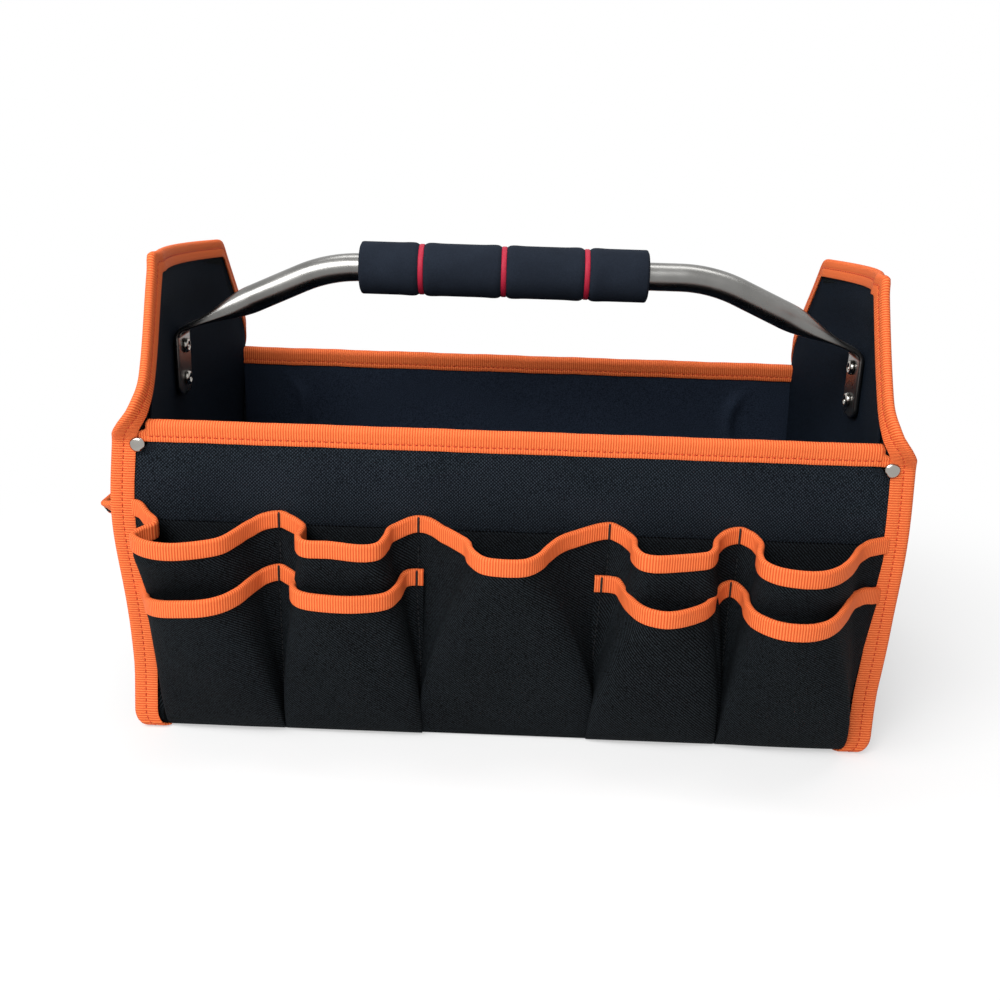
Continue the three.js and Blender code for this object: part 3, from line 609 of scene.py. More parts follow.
# %% Shape of an end
HANDS = (("left", -1), ("right", 1))
SEAM_X, SEAM_Y = 186.3, 103.6
SEAM_BOW = {-1: 6, 1: 2.8}
SEAM_BOW_Z, SEAM_BOW_SPREAD = 122, 44
END_BOTTOM = 1.8
CORNER_RADIUS = 3
FOOT_FLARE, FOOT_FLARE_TOP = {-1: 6, 1: 3}, 40
FOOT_TUCK, FOOT_TUCK_TOP = {-1: 0.3, 1: 3.5}, 70
FLANGE = 16.7
EAR_START = 167
EAR_EASE = 0.12
EAR_EDGE = 12
EAR_FRONT = (56.6, 1.39)
EAR_BACK = (70.8, 1.35)
EAR_SHOULDER = 262
EAR_SEAM_TOP = 238.6
EAR_RADIUS = 3
EAR_LEAN, EAR_LEAN_TOP = {-1: (4.2, 3.2), 1: (1.2, 3.9)}, 240
EAR_TURN_START, EAR_TURN_TOP = 161, 190
EAR_TURN_POWER, EAR_TURN_EASE = 2.4, 0.5
EAR_SPLAY = math.radians(9)
EAR_TILT = 0.04
END_BOW, END_BOW_TOP = 17.3, 150
EAR_TUCK, EAR_TUCK_START = 5.5, 208
NORMAL_SHARE, NORMAL_RISE = 0.03, 1


def ear_half(share, z):
    """Half the width of the panel above the walls: the front edge curves in, the back edge less so."""
    rise = span(z, EAR_START, EAR_SHOULDER)
    rise = rise - EAR_EASE / 2 if rise > EAR_EASE else rise * rise / (2 * EAR_EASE)
    if share > 0:
        return SEAM_Y - EAR_BACK[0] * rise ** EAR_BACK[1]
    return SEAM_Y - EAR_FRONT[0] * (1 - (1 - rise) ** EAR_FRONT[1])


def end_half(share, z):
    """Half the width of the end panel between its seams at a height."""
    flare = FOOT_FLARE[1 if share > 0 else -1] * (1 - smooth(z, END_BOTTOM, FOOT_FLARE_TOP))
    below = CORNER_RADIUS - (z - END_BOTTOM)
    if below > 0:
        return SEAM_Y + flare - CORNER_RADIUS + math.sqrt(max(0.0, CORNER_RADIUS ** 2 - below ** 2))
    above = min(EAR_RADIUS, max(0.0, z - (EAR_SEAM_TOP - EAR_RADIUS)))
    return ear_half(share, z) + flare - EAR_RADIUS + math.sqrt(EAR_RADIUS ** 2 - above ** 2)


def end_reach(hand, share, z):
    """How far out the middle of the end panel's layers stands."""
    lean = lerp(*EAR_LEAN[hand], (share + 1) / 2) * smooth(z, EAR_START, EAR_LEAN_TOP)
    bow = SEAM_BOW[hand] * bump(z, SEAM_BOW_Z, SEAM_BOW_SPREAD)
    edge = SEAM_X + lean + bow - FOOT_TUCK[hand] * (1 - smooth(z, 0, FOOT_TUCK_TOP))
    middle = SEAM_X + END_BOW * smooth(z, 0, END_BOW_TOP)
    middle -= EAR_TUCK * smooth(z, EAR_TUCK_START, EAR_SEAM_TOP)
    return edge + (middle - edge) * (1 - share * share)


def end_point(hand, share, z):
    """A point of the end panel; the handle has pulled the ears' backs down a little."""
    y = share * end_half(share, z)
    drop = EAR_TILT * y * smooth(z, EAR_START, EAR_SEAM_TOP)
    return Vector((hand * end_reach(hand, share, z), y, z - drop))


def end_normal(hand, share, z):
    """The way out of the panel's face."""
    low, high = max(END_BOTTOM, z - NORMAL_RISE), min(EAR_SEAM_TOP, z + NORMAL_RISE)
    up = end_point(hand, share, high) - end_point(hand, share, low)
    inner = min(1 - NORMAL_SHARE, max(NORMAL_SHARE - 1, share))
    over = end_point(hand, inner + NORMAL_SHARE, z) - end_point(hand, inner - NORMAL_SHARE, z)
    normal = over.cross(up).normalized()
    return normal if normal.x * hand > 0 else -normal


def end_turn(z):
    """How far the seam has turned from pointing outwards, 0, to lying in the ear, 1."""
    rise = span(z, EAR_TURN_START, EAR_TURN_TOP)
    return (1 - (1 - rise) ** EAR_TURN_POWER) * smooth(rise, 0, EAR_TURN_EASE)


# %% Border and flange of an end
FOOT_ROUND, FOOT_ROUND_TOP = 6, 11
FRONT_CORNER, BACK_CORNER = 6, 2.6
ROUND_STEPS = 8
BOTTOM_STEPS, TOP_EDGE_STEPS = 16, 12


def side_heights():
    """Heights up one side seam: close together round the corners and up the ear."""
    corner = EAR_SEAM_TOP - EAR_RADIUS
    quarter = spaced(0, math.pi / 2, ROUND_STEPS)
    heights = [END_BOTTOM + CORNER_RADIUS * (1 - math.cos(turn)) for turn in quarter[:-1]]
    for low, high, steps in ((END_BOTTOM + CORNER_RADIUS, FOOT_ROUND_TOP, 6),
                             (FOOT_ROUND_TOP, EAR_TURN_START, 24), (EAR_TURN_START, corner, 44)):
        heights += spaced(low, high, steps)[:-1]
    return [*heights, *(corner + EAR_RADIUS * math.sin(turn) for turn in quarter)]


SIDE_HEIGHTS = side_heights()


def end_border():
    """Places round the seam as (share, height): bottom, up the front, over the top, down the back."""
    bottom = [(share, END_BOTTOM) for share in spaced(1, -1, BOTTOM_STEPS)[:-1]]
    front = [(-1, z) for z in SIDE_HEIGHTS]
    top = [(share, EAR_SEAM_TOP) for share in spaced(-1, 1, TOP_EDGE_STEPS)[1:-1]]
    back = [(1, z) for z in reversed(SIDE_HEIGHTS)]
    return [*bottom, *front, *top, *back[:-1]]


END_BORDER = end_border()


def corner_stretch(share, z):
    """Lets the rim run out to a folded corner instead of a round one at the top of an ear."""
    rise = (z - EAR_SEAM_TOP + EAR_RADIUS) / EAR_RADIUS
    if rise <= 0 or abs(share) < 1:
        return 1.0
    turn = math.asin(min(1.0, rise))
    power = FRONT_CORNER if share < 0 else BACK_CORNER
    return (math.cos(turn) ** power + math.sin(turn) ** power) ** (-1 / power)


def end_frames(hand):
    """At each border place: the seam point, the way out, the way across and the flange's width."""
    seam = [end_point(hand, share, z) for share, z in END_BORDER]
    frames = []
    for k, (share, z) in enumerate(END_BORDER):
        before, after = seam[k - 1], seam[(k + 1) % len(seam)]
        along = (after - before).normalized()
        out = Vector((0, before.z - after.z, after.y - before.y)).normalized()
        angle = end_turn(z) * (math.pi / 2 - EAR_SPLAY)
        away = (Vector((hand * math.cos(angle), 0, 0)) + out * math.sin(angle)).normalized()
        across = away.cross(along).normalized() * -hand
        low = span(z, FOOT_ROUND_TOP, END_BOTTOM)
        rounded = FOOT_ROUND * (1 - math.sqrt(1 - low * low))
        width = lerp(FLANGE - rounded, EAR_EDGE, end_turn(z)) * corner_stretch(share, z)
        frames.append((seam[k], away, across, width))
    return frames


# %% [markdown]
# The outer cloth is the panel plus its flange; the lining stops inside the seam and tucks under the
# tape on the ear. The tape runs once round the whole seam, so its stations close into a loop.

# %% End cloths and tapes
END_COLUMNS, END_ROWS = 40, len(SIDE_HEIGHTS) - 1
END_FLAT = (2 * SEAM_Y, EAR_SEAM_TOP)
FLANGE_ROWS, FLANGE_RUN = 5, 850
BOARD_GRID = (24, 40)
FLANGE_STACK = 2 * CLOTH + GAP
OUTER_LAYER = STACK / 2 - CLOTH / 2
INNER_LAYER = LINING / 2 - STACK / 2
RIM_OUTER = CLOTH / 2 + 0.1
RIM_INNER = -LINING / 2 - 0.1
RIM_HALF = 1.1
PINCH = 16
END_RIPPLE = 0.5
LINING_INSET, LINING_INSET_TOP = 1.6, 40
LINING_TUCK, LINING_TUCK_START = 3.5, 195
CREASE, CREASE_Z, CREASE_SPREAD = 0.8, 176, 14
BOARD = 0.9
BOARD_INSET, EAR_BOARD_INSET = 4, 18
END_LEG, EAR_LEG = 10.6, 8.6


def pressed(share, z):
    """How far the layers are pinched together: not below the walls' tops, fully at the ear's rim."""
    rim = min((1 - abs(share)) * end_half(share, z), EAR_SEAM_TOP - z)
    return end_turn(z) * (1 - smooth(rim, 0, PINCH))


def end_cloth(hand, s, t):
    share, z = lerp(-1, 1, s), SIDE_HEIGHTS[round(t * END_ROWS)]
    ripple = END_RIPPLE * math.sin(0.09 * z + 3 * share) * (1 - share * share)
    layer = lerp(OUTER_LAYER + max(0.0, ripple), RIM_OUTER, pressed(share, z))
    return end_point(hand, share, z) + end_normal(hand, share, z) * layer


def end_flange(frames, s, t):
    at, away, across, width = frames[round(s * len(frames)) % len(frames)]
    return at + away * (width * t) + across * lerp(OUTER_LAYER, RIM_OUTER, end_turn(at.z))


def end_lining(hand, s, t):
    share, z = lerp(-1, 1, s), SIDE_HEIGHTS[round(t * END_ROWS)]
    layer = lerp(INNER_LAYER, RIM_INNER, pressed(share, z))
    at = end_point(hand, share, z) + end_normal(hand, share, z) * layer
    at.y += share * lerp(-LINING_INSET, LINING_TUCK, smooth(z, CLOTH_TOP, EAR_TURN_TOP))
    at.z += LINING_INSET * (1 - smooth(z, END_BOTTOM, LINING_INSET_TOP))
    at.z += LINING_TUCK * smooth(z, LINING_TUCK_START, EAR_SEAM_TOP)
    wave = math.sin(2.6 * share + 0.4) * (1 - share * share)
    at.x -= hand * abs(CREASE * bump(z, CREASE_Z, CREASE_SPREAD) * wave)
    return at


def end_board(hand, s, t):
    z = lerp(END_BOTTOM + BOARD_INSET, EAR_SEAM_TOP - EAR_BOARD_INSET, t)
    inset = lerp(BOARD_INSET, EAR_BOARD_INSET, end_turn(z))
    share = lerp(-1, 1, s)
    return end_point(hand, share * (1 - inset / end_half(share, z)), z)


def end_tape_stations(frames):
    found = []
    for at, away, across, width in [*frames, frames[0]]:
        turn = end_turn(at.z)
        half = lerp(FLANGE_STACK / 2, RIM_HALF, turn) + GAP + TAPE / 2
        shift = (STACK / 2 - FLANGE_STACK / 2) * (1 - turn)
        middle = at + away * (width - half + GAP + TAPE) + across * shift
        stretch = max(1.0, width / EAR_EDGE) if turn == 1 else 1.0
        found.append((middle, away, across, half, lerp(END_LEG, EAR_LEG, turn) * stretch))
    return found


for hand_name, hand in HANDS:
    end, frames = f"{hand_name}_end", end_frames(hand)
    bm = bmesh.new()
    add_grid(bm, END_COLUMNS, END_ROWS, partial(end_cloth, hand), END_FLAT)
    add_grid(bm, len(frames), FLANGE_ROWS, partial(end_flange, frames), (FLANGE_RUN, FLANGE))
    bmesh.ops.remove_doubles(bm, verts=bm.verts, dist=0.01 * MM)
    cloth = make_piece(f"{end}_cloth", bm, "twill_cloth", [f"{end}_panel"], CLOTH)
    # The ends' lining wears the darker copy of the lining cloth, which paints shade on it.
    lining = sheet_piece(f"{end}_lining_cloth", (END_COLUMNS, END_ROWS), partial(end_lining, hand), END_FLAT,
                         "end_lining", [f"{end}_lining"], LINING)
    sheet_piece(f"{end}_stiffener", BOARD_GRID, partial(end_board, hand), END_FLAT,
                "stiffener", [f"{end}_board"], BOARD)
    stations = end_tape_stations(frames)
    tape_piece(f"{end}_binding", stations, f"{end}_tape", closed=True)
    stitch_piece(f"{end}_stitches", stations)

# %% [markdown]
# ## Pockets
# A row of pockets is one long strip, sewn to the wall at the dividers. At the mouth it is longer than
# the wall, so it stands out in curves; at the bottom the spare cloth is pleated away behind the front.
# The strip's mouth is drawn in plan, as places along the wall and distances out from it. A third
# number lifts the mouth or lowers it, near the side seams.

# %% Mouths of the front pockets, in plan
UPPER_POCKETS = (
    {"left": [(-198, 0, 2.5), (-194, 2, 2.5), (-189, 6.5, 2), (-184, 11, 1.5), (-182.8, 15, 1),
              (-188, 19, 0.5), (-191.3, 23.5)],
     "front": [(-186, 28.5), (-177, 31.5), (-167, 31.7), (-154, 28.5), (-146, 24.5)],
     "right": [(-140.5, 17), (-136, 9.8), (-130.5, 4.8)]},
    {"left": [(-121, 2), (-116, 3.8), (-110.5, 6.5), (-107, 10.5), (-107.5, 15.5), (-108, 20)],
     "front": [(-103.5, 25), (-91, 25.3), (-76, 27.3), (-67, 25)],
     "right": [(-63.5, 17), (-62, 9.5), (-56, 5)]},
    {"left": [(-48, 2), (-40.5, 4), (-33, 9), (-26.5, 14.5), (-21.5, 19.5), (-19.5, 26)],
     "front": [(-13, 33.5), (-3, 35.5), (8, 34.5)],
     "right": [(15, 29), (19.5, 21.5), (25.5, 13.5), (33, 8), (42, 4.4)]},
    {"left": [(51, 2), (55.5, 3.6), (60.5, 6.8), (63.5, 12), (63.5, 19)],
     "front": [(67, 25.5), (74, 27.5), (85, 26), (95, 24)],
     "right": [(101, 22), (104.5, 17), (106, 10.5), (109, 6), (113.5, 3.4)]},
    {"left": [(119, 2), (123, 3.6), (127, 6.5), (128.5, 12), (126.5, 20)],
     "front": [(127.5, 28), (134, 33.5), (145, 36), (155, 35.5)],
     "right": [(163.5, 31.5), (170.5, 24.5, -0.3), (175, 17.5, -1), (179.5, 10, -1.5), (184.5, 5.5, -2),
               (190, 2.8, -3), (196.5, 0, -3.5)]},
)
LOWER_POCKETS = {
    "left": (
        {"left": [(-196.5, 1, -15), (-194, 5, -14.5), (-190.5, 12, -13), (-187.5, 20, -10.5)],
         "front": [(-183, 29, -7), (-176, 34.5, -5), (-166, 37.5, -3.2), (-154, 38, -2), (-145, 34.5, -1.2)],
         "right": [(-138.5, 27.5, -0.5), (-134.5, 18.5), (-131, 10.5), (-127, 7.2)]},
        {"left": [(-121, 5), (-117, 7), (-112.5, 10), (-110, 15.5), (-111, 22)],
         "front": [(-106, 29), (-95, 32), (-78, 32.5), (-63, 28)],
         "right": [(-57.5, 18), (-55.5, 8), (-51, 5.2), (-45, 5)]},
    ),
    "right": (
        {"left": [(45, 5), (53, 5.2), (58.5, 8), (62, 20)],
         "front": [(68, 31), (77, 36), (86, 35), (98, 28)],
         "right": [(104, 21), (107.5, 13), (110.5, 8.5), (113, 6.4)]},
        {"left": [(116.5, 5), (120.5, 7.5), (123, 12.5), (122.5, 24)],
         "front": [(125.5, 34), (135, 42), (147, 43.8), (157, 41.5, 0.5)],
         "right": [(164.5, 36, 1.5), (171, 27, 2.3), (175, 19.5, 2.2), (179, 13, 2), (184, 8.5, 1),
                   (190, 4.5, -1.5), (195, 0.5, -3)]},
    ),
}

# %% Cloth of a pocket row
Row = namedtuple("Row", "pockets columns mouth fall land folded belly turn")
POCKET_ROWS = 42
POCKET_CLOTH = 1.0
POCKET_BOTTOM = 1.0
POCKET_FOOT = 187
CURVE_STEPS = 14
PLEAT = 1.6
FOLD_REACH = 8
SPREAD = 1.8
FULL_STAND = 0.9
PRESSED_FROM = (140, 176)
DIVIDER_PEAK, PEAK_FADE = 1.8, 6
SLACK, SLACK_FROM = 0.7, (4, 18)


def smooth_curve(points, count):
    """Even places along a smooth curve through the points, and the curve's length in plan."""
    ends = [points[0] * 2 - points[1], *points, points[-1] * 2 - points[-2]]
    dense = []
    for a, b, c, d in zip(ends, ends[1:], ends[2:], ends[3:]):
        for k in range(CURVE_STEPS):
            t = k / CURVE_STEPS
            dense.append((b * 2 + (c - a) * t + (a * 2 - b * 5 + c * 4 - d) * t ** 2
                          + (b * 3 - a - c * 3 + d) * t ** 3) / 2)
    dense.append(points[-1])
    lengths = distances([point.xy for point in dense])
    found, k = [], 0
    for i in range(count + 1):
        reach = min(lengths[-1], i * lengths[-1] / count)
        while k + 2 < len(dense) and lengths[k + 1] < reach:
            k += 1
        share = (reach - lengths[k]) / max(1e-9, lengths[k + 1] - lengths[k])
        found.append(dense[k].lerp(dense[k + 1], min(1.0, share)))
    return found, lengths[-1]


def row_points(pockets):
    """The plan points of a row, each with its lift and the place on the bottom edge below it."""
    found = []
    for k, pocket in enumerate(pockets):
        last = k + 1 == len(pockets)
        left, front, right = pocket["left"], pocket["front"], pocket["right"]
        start = max(-POCKET_FOOT, left[0][0])
        end = min(POCKET_FOOT, right[-1][0] if last else pockets[k + 1]["left"][0][0])
        feet = [start + PLEAT * i / len(left) for i in range(len(left))]
        feet += [lerp(start + PLEAT, end - PLEAT, i / (len(front) - 1)) for i in range(len(front))]
        count = len(right) if last else len(right) + 1
        feet += [end - PLEAT * (1 - (i + 1) / count) for i in range(len(right))]
        for point, foot in zip([*left, *front, *right], feet):
            x, out, lift = (*point, 0)[:3]
            found.append(Vector((x, out, lift, foot)))
    return found


def soften(values, reach):
    """Evens out a list of numbers over a few neighbours, so that a fold is round and not sharp."""
    near = [values[max(0, k - reach):k + reach + 1] for k in range(len(values))]
    return [sum(part) / len(part) for part in near]


def pocket_cloth(row):
    """Returns the rule that places a row's cloth, and the row's length at the mouth."""
    line, long = smooth_curve(row_points(row.pockets), row.columns)
    feet = soften([point.w for point in line], FOLD_REACH)

    def place(s, t):
        k = round(s * row.columns)
        x, out, lift, _ = line[k]
        rise = min(1.0, t / FULL_STAND)
        stand = rise ** lerp(*row.belly, smooth(abs(x), *PRESSED_FROM))
        loose = smooth(out - row.land, *SLACK_FROM)
        slack = SLACK * math.sin(0.16 * x + 5 * t) * math.sin(math.pi * t) * loose
        away = lerp(row.folded, out, stand) + slack
        across = lerp(feet[k], x, rise ** SPREAD)
        peak = DIVIDER_PEAK * (1 - smooth(out - row.land, 0, PEAK_FADE))
        top = row.mouth - row.fall * out + lift + peak
        return Vector((row.turn * across, -row.turn * (WALL_Y + away), lerp(POCKET_BOTTOM, top, t)))
    return place, long


# %% Tape and seams of a pocket row
POCKET_LEG = 7.3
LIP = 0.93
THREAD_LIFT = 0.1
DIVIDER_STEPS, DIVIDER_CROWN = 5, 0.6
DIVIDER_STITCH = {"pitch": 1.1, "length": 3.0, "radius": 0.7}
SEAM_ROWS = range(2, POCKET_ROWS - 4)


def mouth_stations(place, columns):
    """Stations for the tape on the mouth of a row."""
    half = POCKET_CLOTH / 2 + GAP + TAPE / 2
    points = [place(k / columns, 1.0) for k in range(columns + 1)]
    found = []
    for k, at in enumerate(points):
        along = points[min(k + 1, columns)] - points[max(k - 1, 0)]
        out = (at - place(k / columns, LIP)).normalized()
        across = along.cross(out).normalized()
        found.append((at, out, across, half, POCKET_LEG))
    return found


def nearest_column(row, place, x):
    """The column of a row whose mouth is sewn to the wall nearest to x."""
    def miss(k):
        at = place(k / row.columns, 1.0)
        return abs(at.x - x) + abs(abs(at.y) - WALL_Y) / 2
    return min(range(row.columns + 1), key=miss)


def divider_columns(row, place):
    return [nearest_column(row, place, row.turn * pocket["left"][0][0]) for pocket in row.pockets[1:]]


def add_divider_seam(bm, row, place, station, k):
    """Black thread across the tape and down the cloth along a divider."""
    at, out, across, half, leg = station
    front = across * (half + TAPE / 2 + THREAD_LIFT)
    top = [at + front + out * reach for reach in spaced(half * DIVIDER_CROWN, -leg, DIVIDER_STEPS)]
    add_stitches(bm, top, [across] * len(top), **DIVIDER_STITCH)
    lift = across * (POCKET_CLOTH / 2 + THREAD_LIFT)
    down = [place(k / row.columns, r / POCKET_ROWS) + lift for r in reversed(SEAM_ROWS)]
    add_stitches(bm, down, [across] * len(down))


def pocket_lay(row, place):
    """Where each point lies on the flat cloth: true lengths, lined up at each pocket's middle."""
    table = []
    for r in range(POCKET_ROWS + 1):
        table.append(distances([place(k / row.columns, r / POCKET_ROWS) for k in range(row.columns + 1)]))
    edges = [0, *divider_columns(row, place), row.columns]
    middles = [(a + b) // 2 for a, b in zip(edges, edges[1:]) for _ in range(b - a)]
    middles.append(middles[-1])

    def lay(s, t):
        k, lengths = round(s * row.columns), table[round(t * POCKET_ROWS)]
        return table[-1][middles[k]] + lengths[k] - lengths[middles[k]], t * row.mouth
    return lay


def pocket_row(name, row, cloth_nodes, tape_node, tabs=()):
    """Cloth, mouth tape and divider seams of a row; tabs are more places that are sewn down."""
    place, long = pocket_cloth(row)
    cloth = sheet_piece(f"{name}_cloth", (row.columns, POCKET_ROWS), place, pocket_lay(row, place),
                        "twill_cloth", cloth_nodes, POCKET_CLOTH)
    stations = mouth_stations(place, row.columns)
    tape_piece(f"{name}_binding", stations, tape_node, seam=None)
    bm = bmesh.new()
    for k in [*divider_columns(row, place), *(nearest_column(row, place, x) for x in tabs)]:
        add_divider_seam(bm, row, place, stations[k], k)
    make_piece(f"{name}_seams", bm, "black_thread")
    print(f"{name}: a strip {long:.0f} mm long")


# %% Front and back pocket rows
UPPER_MOUTH = 125.6
LOWER_MOUTH = 97.0
UPPER_BELLY = {1: (0.85, 2.0), -1: (0.85, 0.85)}
LOWER_BELLY = (0.62, 0.62)
FREE_END = 48.5

for side, turn in SIDES:
    row = Row(UPPER_POCKETS, columns=420, mouth=UPPER_MOUTH, fall=0.24, land=2.0,
              folded=0.5 * POCKET_CLOTH, belly=UPPER_BELLY[turn], turn=turn)
    nodes = [f"{side}_upper_pocket_{k}" for k in range(1, 6)]
    pocket_row(f"{side}_upper_pockets", row, nodes, f"{side}_upper_pocket_tape")
for hand_name, hand in HANDS:
    row = Row(LOWER_POCKETS[hand_name], columns=190, mouth=LOWER_MOUTH, fall=0.12, land=5.0,
              folded=1.5 * POCKET_CLOTH, belly=LOWER_BELLY, turn=1)
    nodes = [f"front_lower_pocket_{hand_name}_{k}" for k in (1, 2)]
    pocket_row(f"front_lower_pockets_{hand_name}", row, nodes, f"front_lower_tape_{hand_name}",
               tabs=[hand * FREE_END])

# %% [markdown]
# ## End pockets
# One wide pocket stands on each end. Its cloth follows the bowed panel at the sides and stands out
# flat between them. At the left end's front corner its mouth turns out sharply, in a loop.

# %% End pockets
POUCH_GRID = (150, 40)
POUCH_HALF = 98
POUCH_EASE = 50
POUCH_OFF = 2
POUCH_FLAT_X = 192.2
POUCH_BULGE = 31.5
POUCH_DIP = 6
POUCH_BELLY = 0.7
POUCH_BOTTOM = 7
POUCH_LAND = 7
POUCH_RAMP = 50
POUCH_LOOP = 13
POUCH_LOW_RAMP = 60
POUCH_SLACK = 0.9


def end_pocket(hand, s, t):
    y = lerp(-POUCH_HALF, POUCH_HALF, s)
    mouth_ramp = POUCH_LOOP if hand < 0 < y else POUCH_RAMP
    ramp = lerp(POUCH_LOW_RAMP, mouth_ramp, smooth(t, 0.75, 1.0))
    share = smooth(POUCH_HALF - abs(y), POUCH_LAND, POUCH_LAND + ramp)
    z = lerp(POUCH_BOTTOM, UPPER_MOUTH - POUCH_DIP * share, t)
    level = min(z, FULL_STAND * UPPER_MOUTH)
    follow = end_reach(hand, y / end_half(y, level), level) + STACK / 2 + POUCH_OFF
    flat = POUCH_FLAT_X + POUCH_BULGE * min(1.0, t / FULL_STAND) ** POUCH_BELLY
    slack = POUCH_SLACK * math.sin(0.07 * y + 4 * t) * math.sin(math.pi * t) * share
    return Vector((hand * (lerp(follow, flat, share) + slack), hand * y, z))


for hand_name, hand in HANDS:
    pocket, place = f"{hand_name}_end_pocket", partial(end_pocket, hand)
    wide = 2 * POUCH_HALF + POUCH_EASE
    cloth = sheet_piece(f"{pocket}_cloth", POUCH_GRID, place, (wide, UPPER_MOUTH), "twill_cloth",
                        [pocket], POCKET_CLOTH)
    tape_piece(f"{pocket}_binding", mouth_stations(place, POUCH_GRID[0]), f"{pocket}_tape", seam=None)

# %% [markdown]
# ## Handle
# The handle is one bent tube whose ends are pressed flat and riveted inside the ears. Its section
# changes from a circle to a flat bar, so it is swept as a grid and its long seam is welded.

# %% Handle tube
TUBE_RADIUS = 8
TUBE_SIDES = 48
TUBE_TOP = (cad("grip_foam")[0].z + cad("grip_foam")[1].z) / 2
TUBE_STRAIGHT = 92.2
TUBE_SLOPE = math.radians(24)
TUBE_BEND = 85
TAB_X = 198.9
TAB_BOTTOM = cad("handle_tube")[0].z
TAB_HALF_WIDTH, TAB_HALF_THICK = 12.3, 1.6
TAB_BEND = 6
TAB_POWER = 5
TAB_ROUND = 0.6 * TAB_HALF_WIDTH
TAPER = 44
BEND_STEPS, TAPER_STEPS, TAB_STEPS = 16, 20, 8
TUBE_FLAT = (480, 50)


def handle_half():
    """From the middle to the right tab: place, slope and section of the tube."""
    stations = []
    for angle in spaced(0, TUBE_SLOPE, BEND_STEPS):
        x = TUBE_STRAIGHT + TUBE_BEND * math.sin(angle)
        z = TUBE_TOP - TUBE_BEND * (1 - math.cos(angle))
        stations.append((x, z, angle, TUBE_RADIUS, TUBE_RADIUS, 2))
    bend_x, bend_z = stations[-1][:2]
    lean = math.pi / 2 - TUBE_SLOPE
    slope_x = TAB_X - TAB_BEND * (1 - math.cos(lean))
    slope_z = bend_z - (slope_x - bend_x) * math.tan(TUBE_SLOPE)
    for share in spaced(0, 1, TAPER_STEPS):
        left = TAPER * (1 - share)
        ease = smooth(share, 0, 0.9)
        section = (lerp(TUBE_RADIUS, TAB_HALF_WIDTH, ease), lerp(TUBE_RADIUS, TAB_HALF_THICK, ease),
                   lerp(2, TAB_POWER, ease))
        stations.append((slope_x - left * math.cos(TUBE_SLOPE), slope_z + left * math.sin(TUBE_SLOPE),
                         TUBE_SLOPE, *section))
    tab_top = slope_z - TAB_BEND * math.sin(lean)
    flat = (TAB_HALF_WIDTH, TAB_HALF_THICK, TAB_POWER)
    for turn in spaced(lean, 0, TAB_STEPS)[1:]:
        stations.append((TAB_X - TAB_BEND * (1 - math.cos(turn)), tab_top + TAB_BEND * math.sin(turn),
                         math.pi / 2 - turn, *flat))
    for reach in spaced(0, 1, TAB_STEPS):
        width = TAB_HALF_WIDTH * math.sqrt(1 - 0.75 * reach ** 4)
        stations.append((TAB_X, TAB_BOTTOM + TAB_ROUND * (1 - reach), math.pi / 2, width, *flat[1:]))
    return stations


def handle_tube():
    right = handle_half()
    left = [(-x, z, -angle, *section) for x, z, angle, *section in reversed(right)]
    stations = [*left, *right]
    bm = bmesh.new()

    def place(s, t):
        x, z, angle, width, thick, power = stations[round(s * (len(stations) - 1))]
        turn = 2 * math.pi * t
        rise, side = (math.copysign(abs(v) ** (2 / power), v) for v in (math.sin(turn), math.cos(turn)))
        normal = Vector((math.sin(angle), 0, math.cos(angle)))
        return Vector((x, 0, z)) + normal * (thick * rise) + Vector((0, width * side, 0))

    add_grid(bm, len(stations) - 1, TUBE_SIDES, place, TUBE_FLAT)
    bmesh.ops.remove_doubles(bm, verts=bm.verts, dist=0.001 * MM)
    bmesh.ops.holes_fill(bm, edges=[e for e in bm.edges if e.is_boundary], sides=0)
    bmesh.ops.recalc_face_normals(bm, faces=bm.faces)
    make_piece("handle_bar", bm, "polished_steel", ["handle_tube"])


handle_tube()

# %% [markdown]
# ## Rivets
# A rivet is round about its axis, so half of its outline is drawn once and spun. The corner rivets
# have a low domed cap. The handle's rivets are rolled inside the bag and have a flat head outside.

# %% Rivets
RIVET_SPIN = 40
CAP_OFF = 0.2
CAP_RADIUS, CAP_HEIGHT, CAP_RIM, CAP_STEPS = 3.7, 1.3, 0.5, 7
CAP_SHANK = [(1.4, 0), (1.4, -5.0), (2.6, -5.2), (2.4, -5.9), (0, -6.1)]
ROLLED_END = [(0, 0.5), (1.4, 0.5), (1.9, 1.5), (2.5, 2.3), (3.4, 2.2), (4.2, 1.3), (4.4, 0.4), (4.2, 0)]
FLAT_HEAD = [(2.1, 1.3), (5.2, 1.2), (5.4, 0.6), (5.0, 0.1), (0, 0)]
ROLLED_OFF = 0.15


def spun(profile, axis, centre, start, steps):
    """A mesh spun from an outline of (radius, distance along the axis) pairs."""
    bm = bmesh.new()
    verts = [bm.verts.new((centre + axis * along + start * radius) * MM) for radius, along in profile]
    edges = [bm.edges.new(pair) for pair in zip(verts, verts[1:])]
    bmesh.ops.spin(bm, geom=[*verts, *edges], cent=centre * MM, axis=axis, dvec=(0, 0, 0),
                   angle=2 * math.pi, steps=steps, use_merge=True, use_duplicate=False)
    bmesh.ops.remove_doubles(bm, verts=bm.verts, dist=0.002 * MM)
    bmesh.ops.recalc_face_normals(bm, faces=bm.faces)
    return bm


def cap_outline():
    """A low dome with a rolled rim, from its crown outwards."""
    turns = spaced(0, math.pi / 2, CAP_STEPS)[:-1]
    curve = [(CAP_RADIUS * math.sin(turn), CAP_HEIGHT * math.cos(turn) + CAP_RIM) for turn in turns]
    return [*curve, (CAP_RADIUS + 0.25, CAP_RIM), (CAP_RADIUS + 0.3, CAP_RIM / 2), (CAP_RADIUS + 0.1, 0)]


